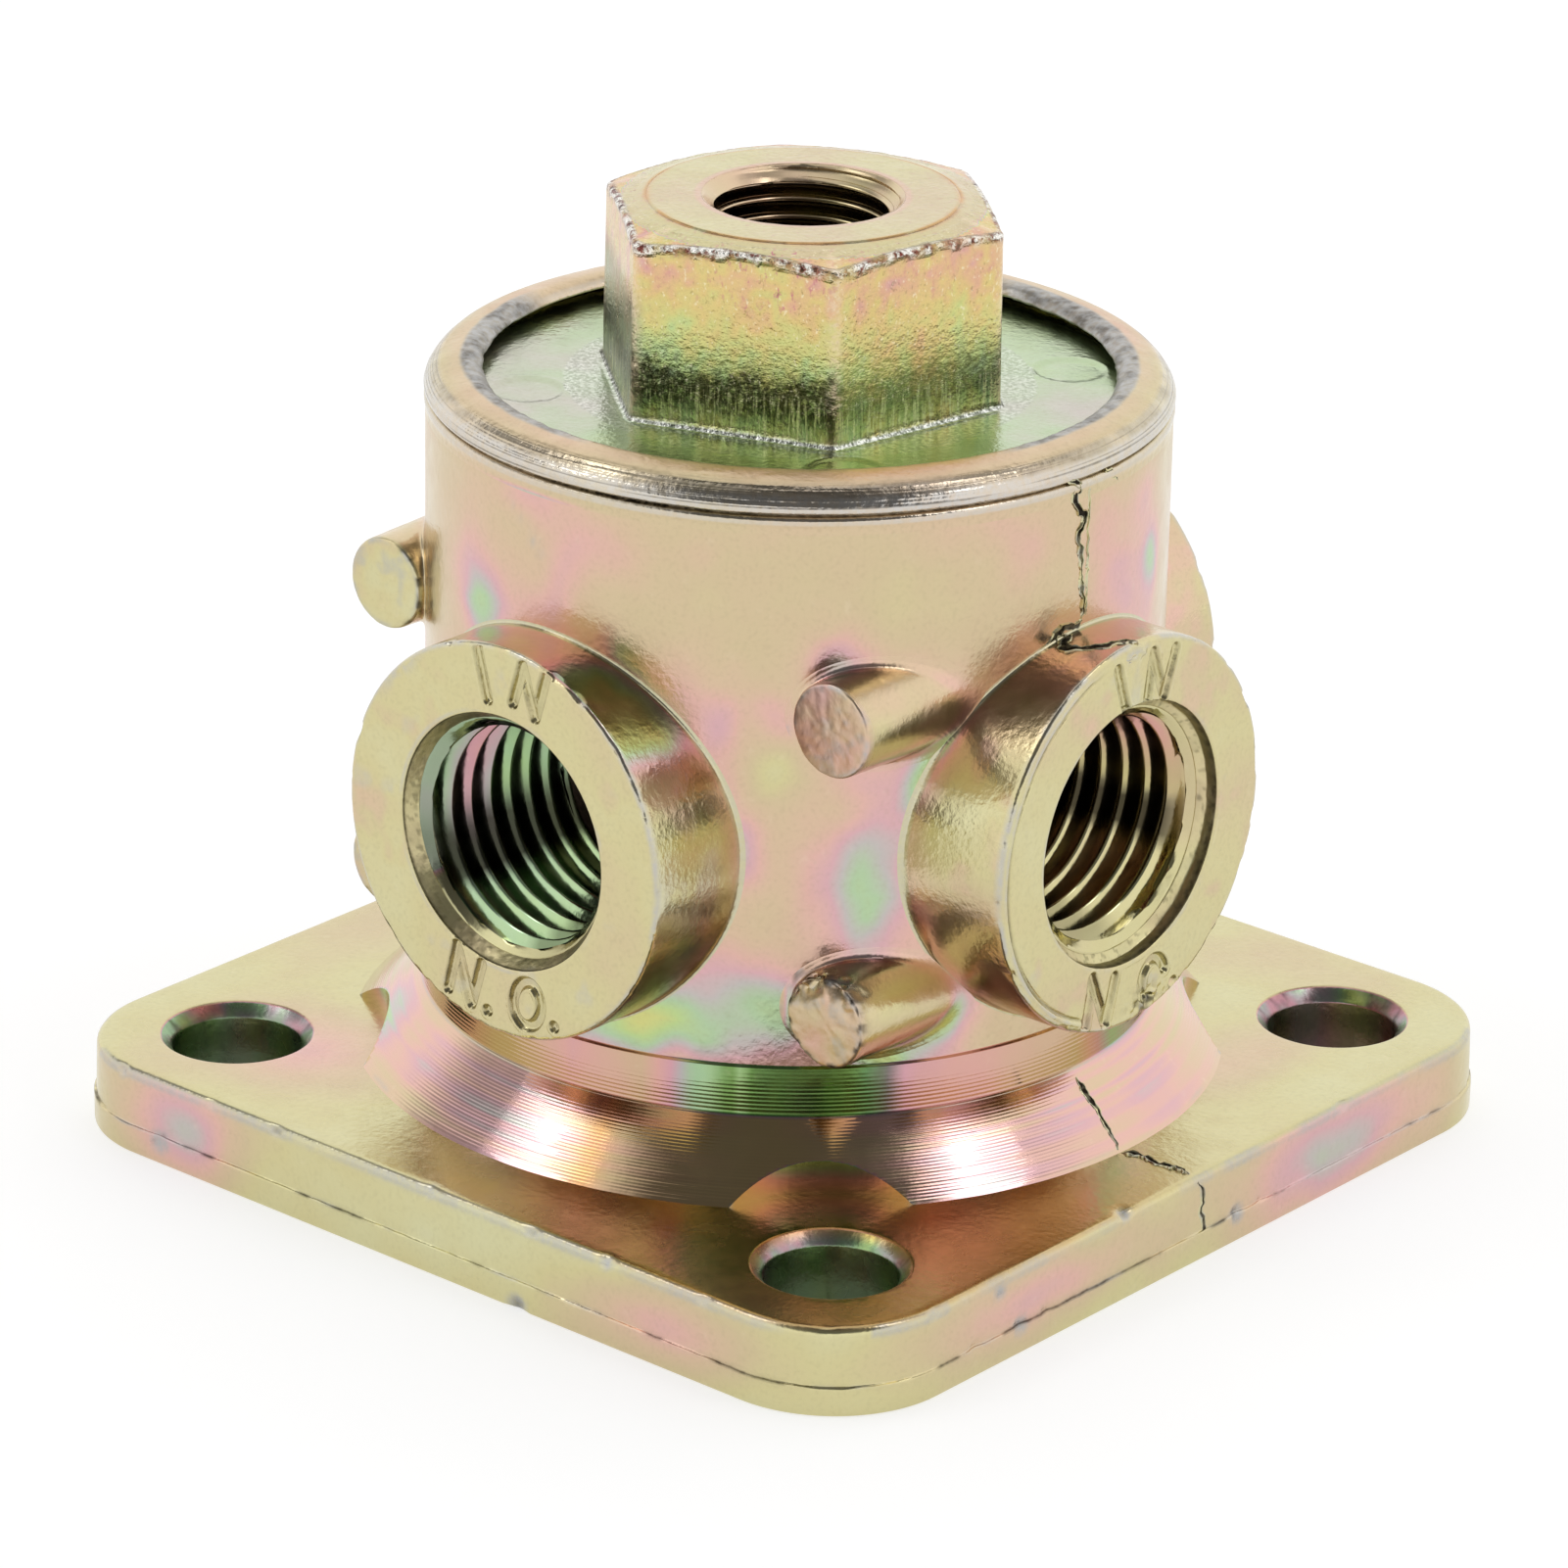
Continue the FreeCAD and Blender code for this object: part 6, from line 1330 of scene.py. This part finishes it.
        # painted shade in the crown's turned groove, heaviest towards the front
        ringc = gauss(r, 7.99, 0.06) * crown
        dirt = np.maximum(dirt, ringc * (0.22 + 0.55 * gauss(adiff(az, -45), 0, 55)) * sstep(-0.7, 0.1, vnoise(P, 0.8, 420)))
        warm = np.where(crown, 0.75 * gauss(r, 7.99, 0.16) * sstep(-0.5, 0.2, vnoise(P, 1.0, 422)), 0)
        dirt = np.maximum(dirt, np.where(face, 0.35 * fc * sstep(48.0, 46.4, z + 0.5 * fbm(P * [1, 1, 0.2], 1.6, 413)), 0))
        worn = np.where(face, 0.35 * fc * sstep(48.5, 46.0, z + 0.5 * fbm(P * [1, 1, 0.2], 1.6, 413)), 0)
        finish_piece(ob, film, worn, dirt, np.where(face, 0.02, 0.0), np.where(face, 0.16, 0.25), warm, deep)
    elif name.startswith("crack_"):
        gap = read(ob, "gap")
        if name == "crack_barrel":
            gap = gap * (0.35 + 0.65 * np.maximum(0.6 * sstep(0.0, 0.35, vnoise(P, 0.6, 424)), sstep(36.6, 37.6, z)))
        if name == "crack_seam":
            gap = 0 * gap
        finish_piece(ob, 0.12 + 0.1 * fbm(P, 1.5, 421), 0.30 + 0.4 * vnoise(P, 0.4, 423), gap, 0.06 + 0 * z, 0.1)
    print("film", name, "%5.1f s" % (time.time() - T0))


# ---------------------------------------------------------------- materials
def srgb(r, g, b):
    return tuple(((c / 255 + 0.055) / 1.055) ** 2.4 if c > 10 else c / 255 / 12.92 for c in (r, g, b)) + (1.0,)


class Nodes:
    def __init__(self, name):
        self.mat = bpy.data.materials.new(name)
        self.mat.use_nodes = True
        self.t = self.mat.node_tree
        self.t.nodes.clear()
        self.out = self.t.nodes.new("ShaderNodeOutputMaterial")
        self.p = self.t.nodes.new("ShaderNodeBsdfPrincipled")
        self.t.links.new(self.p.outputs[0], self.out.inputs[0])
        self.co = self.t.nodes.new("ShaderNodeTexCoord")

    def link(self, a, b):
        self.t.links.new(a, b)

    def attr(self, name):
        n = self.t.nodes.new("ShaderNodeAttribute")
        n.attribute_name = name
        return n.outputs["Fac"]

    def noise(self, scale, detail=2.0, rough=0.5, stretch=(1, 1, 1), offset=(0, 0, 0)):
        m = self.t.nodes.new("ShaderNodeMapping")
        m.inputs["Scale"].default_value = stretch
        m.inputs["Location"].default_value = offset
        self.link(self.co.outputs["Object"], m.inputs["Vector"])
        n = self.t.nodes.new("ShaderNodeTexNoise")
        n.inputs["Scale"].default_value = scale
        n.inputs["Detail"].default_value = detail
        n.inputs["Roughness"].default_value = rough
        self.link(m.outputs[0], n.inputs["Vector"])
        return n.outputs["Fac"]

    def math(self, op, a, b=None, c=None, clamp=False):
        n = self.t.nodes.new("ShaderNodeMath")
        n.operation = op
        n.use_clamp = clamp
        for k, v in enumerate((a, b, c)):
            if v is None:
                continue
            if isinstance(v, (int, float)):
                n.inputs[k].default_value = v
            else:
                self.link(v, n.inputs[k])
        return n.outputs[0]

    def span(self, v, a, b, lo, hi):
        n = self.t.nodes.new("ShaderNodeMapRange")
        n.interpolation_type = "SMOOTHSTEP"
        n.inputs["From Min"].default_value = a
        n.inputs["From Max"].default_value = b
        n.inputs["To Min"].default_value = lo
        n.inputs["To Max"].default_value = hi
        self.link(v, n.inputs["Value"])
        return n.outputs["Result"]

    def mix(self, fac, a, b, mode="MIX"):
        n = self.t.nodes.new("ShaderNodeMix")
        n.data_type = "RGBA"
        n.blend_type = mode
        if isinstance(fac, (int, float)):
            n.inputs["Factor"].default_value = fac
        else:
            self.link(fac, n.inputs["Factor"])
        for k, v in ((6, a), (7, b)):
            if isinstance(v, tuple):
                n.inputs[k].default_value = v
            else:
                self.link(v, n.inputs[k])
        return n.outputs[2]

    def ramp(self, fac, stops):
        n = self.t.nodes.new("ShaderNodeValToRGB")
        e = n.color_ramp.elements
        while len(e) > 1:
            e.remove(e[-1])
        e[0].position, e[0].color = stops[0]
        for p, c in stops[1:]:
            k = e.new(p)
            k.color = c
        self.link(fac, n.inputs["Fac"])
        return n.outputs["Color"]

    def bump(self, height, dist, strength=1.0, chain=None):
        n = self.t.nodes.new("ShaderNodeBump")
        n.inputs["Distance"].default_value = dist
        n.inputs["Strength"].default_value = strength
        self.link(height, n.inputs["Height"])
        if chain is not None:
            self.link(chain, n.inputs["Normal"])
        return n.outputs["Normal"]


FILM = [(0.00, srgb(208, 206, 186)), (0.07, srgb(210, 208, 164)), (0.14, srgb(208, 200, 150)), (0.21, srgb(207, 188, 152)), (0.28, srgb(214, 184, 158)), (0.35, srgb(222, 176, 168)),
        (0.42, srgb(214, 168, 178)), (0.48, srgb(190, 184, 184)), (0.54, srgb(172, 202, 164)), (0.61, srgb(184, 210, 142)), (0.68, srgb(206, 208, 130)), (0.76, srgb(222, 196, 126)),
        (0.84, srgb(224, 174, 142)), (0.92, srgb(212, 154, 166)), (1.00, srgb(160, 190, 160))]


def zinc(name, rough=0.27, grain=1.0, rings=0.0, drag=0.0, var=0.10, wave=1.0, hexagon=False, silver=(176, 176, 175), clean=False):
    n = Nodes(name)
    film = n.attr("film")
    big = n.noise(110, 3.0, 0.55)
    mid = n.noise(520, 2.0, 0.5, offset=(0.3, 0.1, 0.7))
    f = n.math("ADD", film, n.math("MULTIPLY", n.math("SUBTRACT", big, 0.5), var * 1.6))
    f = n.math("ADD", f, n.math("MULTIPLY", n.math("SUBTRACT", mid, 0.5), var * 0.30))
    col = n.ramp(n.math("MULTIPLY", f, 1.0, clamp=True), FILM)
    col = n.mix(n.attr("calm"), col, srgb(209, 195, 156))
    # deep: painted shade and dark reflections, by multiplying the colour with itself
    col = n.mix(n.attr("deep"), col, n.mix(1.0, col, col, "MULTIPLY"))
    col = n.mix(n.attr("warm"), col, srgb(214, 156, 92))
    if clean:
        # painted highlights in the bores, in a pale mint
        col = n.mix(n.attr("mint"), col, srgb(214, 244, 224))
    speck = n.noise(4200, 1.0, 0.5, offset=(0.5, 0.2, 0.1))
    col = n.mix(n.span(speck, 0.45, 0.80, 0.0, 0.10 * grain), col, srgb(150, 136, 104))
    patch = n.noise(1300, 3.0, 0.6, offset=(0.8, 0.4, 0.2))
    col = n.mix(n.span(patch, 0.60, 0.80, 0.0, 0.10), col, srgb(236, 226, 200))
    wn = n.noise(2600, 2.0, 0.6, offset=(0.2, 0.9, 0.4))
    # worn: bare metal where worn, and painted highlights along the cone's crease and the half-moon's edge
    w = n.attr("worn")
    wf = n.math("MULTIPLY", w, n.span(wn, 0.30, 0.62, 0.72, 1.15), clamp=True)
    col = n.mix(wf, col, srgb(*silver))
    # dirt: real dirt in places, and painted shade in letters, cracks, creases, threads and holes
    d = n.attr("dirt")
    df = d if clean else n.math("MULTIPLY", d, n.span(wn, 0.35, 0.65, 1.1, 0.8), clamp=True)
    col = n.mix(df, col, srgb(40, 34, 26))
    if hexagon:
        sp = n.t.nodes.new("ShaderNodeSeparateXYZ")
        n.link(n.co.outputs["Object"], sp.inputs[0])
        zmm = n.math("MULTIPLY", sp.outputs["Z"], 1000.0)
        na = n.noise(620, 3.0, 0.55, (1, 1, 0.5), (0.7, 0.2, 0.5))
        nb_ = n.noise(2300, 3.0, 0.7, (1, 1, 1.3), (0.1, 0.8, 0.3))
        nm = n.noise(4200, 2.0, 0.6, (1, 1, 0.8), (0.4, 0.4, 0.9))
        streak = n.noise(1, 2.0, 0.6, (6200, 6200, 520), (0.2, 0.3, 0.6))
        side, shade, edge = n.attr("side"), n.attr("shade"), n.attr("edge")
        zz = n.math("ADD", zmm, n.math("ADD", n.math("MULTIPLY", n.math("SUBTRACT", na, 0.5), 2.0), n.math("MULTIPLY", n.math("SUBTRACT", nb_, 0.5), 2.4)))
        # painted dark reflection: a dark band across the lower hexagon faces, set per face by the shade attribute
        band = n.math("MULTIPLY", n.span(zz, 43.35, 44.45, 1.0, 0.0), n.span(n.math("ADD", zmm, n.math("MULTIPLY", n.math("SUBTRACT", nb_, 0.5), 1.2)), 41.0, 42.5, 0.0, 1.0))
        band = n.math("MULTIPLY", n.math("MULTIPLY", band, shade), n.span(nm, 0.30, 0.52, 0.45, 1.0), clamp=True)
        col = n.mix(n.math("MULTIPLY", band, 0.90), col, srgb(44, 42, 24))
        low = n.math("MULTIPLY", side, n.span(zmm, 42.4, 43.5, 1.0, 0.0))
        col = n.mix(n.math("MULTIPLY", low, n.span(streak, 0.48, 0.68, 0.0, 0.75)), col, srgb(224, 226, 176))
        col = n.mix(n.math("MULTIPLY", low, n.span(streak, 0.45, 0.30, 0.0, 0.40)), col, srgb(60, 70, 34))
        pk = n.math("MULTIPLY", n.attr("pinkish"), n.span(n.noise(2500, 3.0, 0.65, (1, 1, 0.6), (0.9, 0.5, 0.2)), 0.56, 0.70, 0.0, 0.75))
        col = n.mix(pk, col, srgb(188, 98, 132))
        dk = n.math("MULTIPLY", side, n.span(n.noise(3300, 2.0, 0.6, (1, 1, 0.8), (0.3, 0.7, 0.1)), 0.62, 0.74, 0.0, 0.35))
        col = n.mix(dk, col, srgb(110, 92, 50))
        lt = n.math("MULTIPLY", side, n.span(n.noise(5200, 2.0, 0.6, (1, 1, 0.7), (0.6, 0.1, 0.5)), 0.60, 0.72, 0.0, 0.45))
        col = n.mix(lt, col, srgb(244, 238, 206))
        # painted highlight along the vertical corners
        col = n.mix(n.math("MULTIPLY", n.attr("upright"), n.span(nb_, 0.40, 0.60, 0.15, 0.65)), col, srgb(230, 210, 178))
        # the hexagon's top edge: rough wear in dark, red-brown and silver, with painted white glints
        ne = n.noise(2300, 3.0, 0.7, (1, 1, 1), (0.8, 0.1, 0.4))
        ecol = n.ramp(ne, [(0.34, srgb(46, 34, 28)), (0.43, srgb(128, 66, 58)), (0.50, srgb(180, 172, 160)), (0.58, srgb(240, 237, 230))])
        col = n.mix(n.math("MULTIPLY", edge, n.span(n.noise(700, 1.0, 0.5, (1, 1, 1), (0.2, 0.2, 0.8)), 0.35, 0.55, 0.45, 1.0)), col, ecol)
        bcol = n.ramp(n.noise(4200, 2.0, 0.7, (1, 1, 1), (0.1, 0.6, 0.4)), [(0.38, srgb(98, 100, 90)), (0.50, srgb(178, 180, 172)), (0.60, srgb(243, 243, 238))])
        col = n.mix(n.attr("base"), col, bcol)
    n.link(col, n.p.inputs["Base Color"])
    n.p.inputs["Metallic"].default_value = 1.0
    rv = n.math("ADD", n.math("ADD", n.span(mid, 0.3, 0.7, rough - 0.04, rough + 0.05), n.attr("rough")), n.math("MULTIPLY", df, 0.03 if clean else 0.25), clamp=True)
    n.link(rv, n.p.inputs["Roughness"])
    h = n.noise(2600, 2.0, 0.55, offset=(0.6, 0.6, 0.6))
    nb = n.bump(h, 0.00002 * grain, 1.0)
    wavy = n.noise(330, 1.0, 0.4, offset=(0.1, 0.5, 0.9))
    nb = n.bump(wavy, 0.00006 * wave, 1.0, nb)
    if hexagon:
        nb = n.bump(n.math("MULTIPLY", n.noise(5600, 2.0, 0.6, (1, 1, 0.8), (0.5, 0.9, 0.7)), side), 0.000030, 1.0, nb)
        rip = n.math("MULTIPLY", n.math("MULTIPLY", n.noise(2300, 3.0, 0.65, (1, 1, 1.7), (0.9, 0.2, 0.6)), side), n.math("MULTIPLY", n.span(zmm, 41.6, 43.2, 0.0, 1.0), n.span(zmm, 44.6, 46.6, 1.0, 0.15)))
        nb = n.bump(rip, 0.000085, 1.0, nb)
        nb = n.bump(n.math("MULTIPLY", ne, edge), 0.00014, 1.0, nb)
    if rings:
        rg = n.noise(1, 2.0, 0.6, stretch=(20, 20, 9000), offset=(0, 0, 0.3))
        nb = n.bump(rg, rings, 1.0, nb)
    if drag:
        dg = n.noise(1, 2.0, 0.6, stretch=(5200, 5200, 160))
        nb = n.bump(dg, drag, 1.0, nb)
    n.link(nb, n.p.inputs["Normal"])
    return n.mat


def simple(name, c1, c2, metallic, rough, scale, stretch=(1, 1, 1), bump=0.00001, coat=0.0, spec=0.5):
    n = Nodes(name)
    a = n.noise(scale, 3.0, 0.6, stretch=stretch)
    n.link(n.ramp(a, [(0.3, c1), (0.7, c2)]), n.p.inputs["Base Color"])
    n.p.inputs["Metallic"].default_value = metallic
    n.p.inputs["Coat Weight"].default_value = coat
    n.p.inputs["Specular IOR Level"].default_value = spec
    b = n.noise(scale * 3.1, 2.0, 0.5, stretch=stretch, offset=(0.4, 0.1, 0.2))
    n.link(n.span(b, 0.3, 0.7, rough - 0.05, rough + 0.07), n.p.inputs["Roughness"])
    n.link(n.bump(b, bump), n.p.inputs["Normal"])
    return n.mat


m_cast = zinc("zinc_cast", 0.22, 0.9, wave=0.45)
m_face = zinc("zinc_cast_face", 0.21, 1.15, wave=0.18, silver=(192, 188, 176))
m_turned = zinc("zinc_turned", 0.10, 0.10, wave=0.02)
m_rim = zinc("zinc_rolled", 0.20, 1.6, wave=0.35, silver=(205, 204, 202))
m_cap = zinc("zinc_cap", 0.20, 1.3, drag=0.000008, wave=0.6, hexagon=True)
m_thread = zinc("zinc_thread", 0.12, 0.3, wave=0.1, clean=True)
m_rubber = simple("rubber", srgb(18, 18, 19), srgb(32, 32, 34), 0.0, 0.45, 900, bump=0.000006)
m_brass = simple("brass_turned", srgb(196, 158, 86), srgb(222, 188, 116), 1.0, 0.26, 500, (1, 1, 14), 0.000006)
m_acetal = simple("acetal", srgb(226, 224, 214), srgb(238, 237, 230), 0.0, 0.38, 400, bump=0.000006)
m_alu = simple("aluminium_turned", srgb(196, 198, 200), srgb(218, 219, 221), 1.0, 0.28, 500, (1, 1, 14), 0.000006)
m_steel = simple("stainless_ground", srgb(178, 179, 182), srgb(205, 206, 208), 1.0, 0.24, 600, (1, 1, 10), 0.000005)
m_spring = simple("spring_steel", srgb(92, 94, 98), srgb(132, 134, 138), 1.0, 0.32, 700, bump=0.000006)

for name, ob in pieces.items():
    mat = m_cast
    slot = "cast_body"
    if name.startswith("boss_"):
        mat = m_face
    elif name == "cone_and_band":
        mat = m_turned
    elif name == "rolled_rim":
        mat = m_rim
    elif name == "cap_casting":
        mat, slot = m_cap, "cast_cap"
    elif name == "thread_pilot":
        mat, slot = m_thread, "cast_cap"
    elif name.startswith("thread_"):
        mat = m_thread
    ob.data.materials.clear()
    ob.data.materials.append(mat)
    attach(ob, "housing")

by_slot = {"nitrile_rubber": m_rubber, "turned_brass": m_brass, "acetal": m_acetal, "turned_aluminium": m_alu, "stainless": m_steel, "spring_steel": m_spring,
           "cast_body": m_cast, "cast_cap": m_cap}
for sp in frame["record"]["subparts"]:
    ob = nodes[sp["node"]]
    ob.data.materials.clear()
    ob.data.materials.append(by_slot[sp["material_slot"]])

# ---------------------------------------------------------------- floor, light and camera
fl = bpy.data.meshes.new("floor")
s = 12.0
fl.from_pydata([(-s, -s, 0), (s, -s, 0), (s, s, 0), (-s, s, 0)], [], [(0, 1, 2, 3)])
floor = bpy.data.objects.new("floor", fl)
bpy.context.scene.collection.objects.link(floor)
floor.location = (0, 0, -0.00002)
nf = Nodes("floor_pale")
nf.p.inputs["Base Color"].default_value = (0.50, 0.50, 0.50, 1)
# paper white, with a painted shadow under the four screw holes
fsep = nf.t.nodes.new("ShaderNodeSeparateXYZ")
nf.link(nf.co.outputs["Object"], fsep.inputs[0])
fx = nf.math("SUBTRACT", nf.math("ABSOLUTE", fsep.outputs["X"]), BOLT * MM)
fy = nf.math("SUBTRACT", nf.math("ABSOLUTE", fsep.outputs["Y"]), BOLT * MM)
fout = nf.math("SQRT", nf.math("ADD", nf.math("MULTIPLY", fx, fx), nf.math("MULTIPLY", fy, fy)))
nf.link(nf.ramp(nf.span(fout, 0.0038, 0.0044, 0.0, 1.0), [(0.0, (0.03, 0.03, 0.03, 1)), (1.0, (1, 1, 1, 1))]), nf.p.inputs["Emission Color"])
nf.p.inputs["Emission Strength"].default_value = 0.63
nf.p.inputs["Roughness"].default_value = 0.9
nf.p.inputs["Specular IOR Level"].default_value = 0.1
fl.materials.append(nf.mat)

world = bpy.data.worlds.new("studio")
bpy.context.scene.world = world
world.use_nodes = True
wt = world.node_tree
wt.nodes.clear()
wo = wt.nodes.new("ShaderNodeOutputWorld")
bg = wt.nodes.new("ShaderNodeBackground")
wt.links.new(bg.outputs[0], wo.inputs[0])
tc = wt.nodes.new("ShaderNodeTexCoord")


def direction(az, el):
    a, e = math.radians(az), math.radians(el)
    return (math.cos(a) * math.cos(e), math.sin(a) * math.cos(e), math.sin(e))


def wspot(az, el, inner, outer, lo, hi):
    """a soft round patch of the surroundings: value hi inside the inner angle, lo outside the outer one"""
    d = wt.nodes.new("ShaderNodeVectorMath")
    d.operation = "DOT_PRODUCT"
    wt.links.new(tc.outputs["Generated"], d.inputs[0])
    d.inputs[1].default_value = direction(az, el)
    m = wt.nodes.new("ShaderNodeMapRange")
    m.interpolation_type = "SMOOTHSTEP"
    m.inputs["From Min"].default_value = math.cos(math.radians(outer))
    m.inputs["From Max"].default_value = math.cos(math.radians(inner))
    m.inputs["To Min"].default_value = lo
    m.inputs["To Max"].default_value = hi
    wt.links.new(d.outputs["Value"], m.inputs["Value"])
    return m.outputs["Result"]


def wmath(op, a, b):
    n = wt.nodes.new("ShaderNodeMath")
    n.operation = op
    for k, v in enumerate((a, b)):
        if isinstance(v, (int, float)):
            n.inputs[k].default_value = v
        else:
            wt.links.new(v, n.inputs[k])
    return n.outputs[0]


dark = wspot(-50, 50, 31, 42, 1.0, 0.12)
for spot in ((-50, 90, 20, 36, 1.0, 0.76), (-172, 48, 10, 24, 1.0, 0.30), (64, 62, 6, 20, 1.0, 0.45)):
    dark = wmath("MULTIPLY", dark, wspot(*spot))
wt.links.new(wmath("MULTIPLY", dark, 1.06), bg.inputs["Color"])
bg.inputs["Strength"].default_value = 1.10


def softbox(name, az, el, wide, high, radiance, dist=1.5):
    L = bpy.data.lights.new(name, "AREA")
    L.shape = "RECTANGLE"
    L.size = 2 * dist * math.tan(math.radians(wide / 2))
    L.size_y = 2 * dist * math.tan(math.radians(high / 2))
    L.energy = radiance * PI * L.size * L.size_y
    o = bpy.data.objects.new(name, L)
    bpy.context.scene.collection.objects.link(o)
    dv = Vector(direction(az, el))
    o.location = dv * dist + Vector((0, 0, 0.02))
    o.rotation_euler = dv.to_track_quat("Z", "Y").to_euler()
    return o


softbox("softbox_left", -143, 52, 17, 16, 1.9)
softbox("softbox_right", 28, 59, 18, 15, 1.9)

az, el, roll = math.radians(40.3194), math.radians(21.0367), math.radians(1.0961)
D, f, tx, ty = 0.3902, 7682.44, 811.639, 657.355
T = Vector((0, 0, 0.02625))
d = Vector((math.sin(az) * math.cos(el), -math.cos(az) * math.cos(el), math.sin(el)))
C = T + d * D
fwd = -d
right_v = fwd.cross(Vector((0, 0, 1))).normalized()
up = right_v.cross(fwd)
R2 = right_v * math.cos(roll) + up * math.sin(roll)
U2 = -right_v * math.sin(roll) + up * math.cos(roll)
ax_ = math.atan((tx - 800.5) / f)
ay_ = math.atan((ty - 800.5) / f)
f1 = fwd * math.cos(ax_) - R2 * math.sin(ax_)
r1 = R2 * math.cos(ax_) + fwd * math.sin(ax_)
f2 = f1 * math.cos(ay_) + U2 * math.sin(ay_)
u2 = U2 * math.cos(ay_) - f1 * math.sin(ay_)
cam = bpy.data.objects.new("camera", bpy.data.cameras.new("camera"))
bpy.context.scene.collection.objects.link(cam)
b = -f2
cam.matrix_world = Matrix(((r1.x, u2.x, b.x, C.x), (r1.y, u2.y, b.y, C.y), (r1.z, u2.z, b.z, C.z), (0, 0, 0, 1)))
cam.data.sensor_width = 36
cam.data.lens = f / 1601 * 36
cam.data.clip_start = 0.01
cam.data.clip_end = 100
bpy.context.scene.camera = cam
bpy.context.scene.view_settings.view_transform = "Standard"
bpy.context.scene.view_settings.look = "None"
bpy.context.scene.view_settings.exposure = 0
bpy.context.scene.view_settings.gamma = 1

print("total tris", sum(len(p.vertices) - 2 for o in pieces.values() for p in o.data.polygons), "%.1f s" % (time.time() - T0))
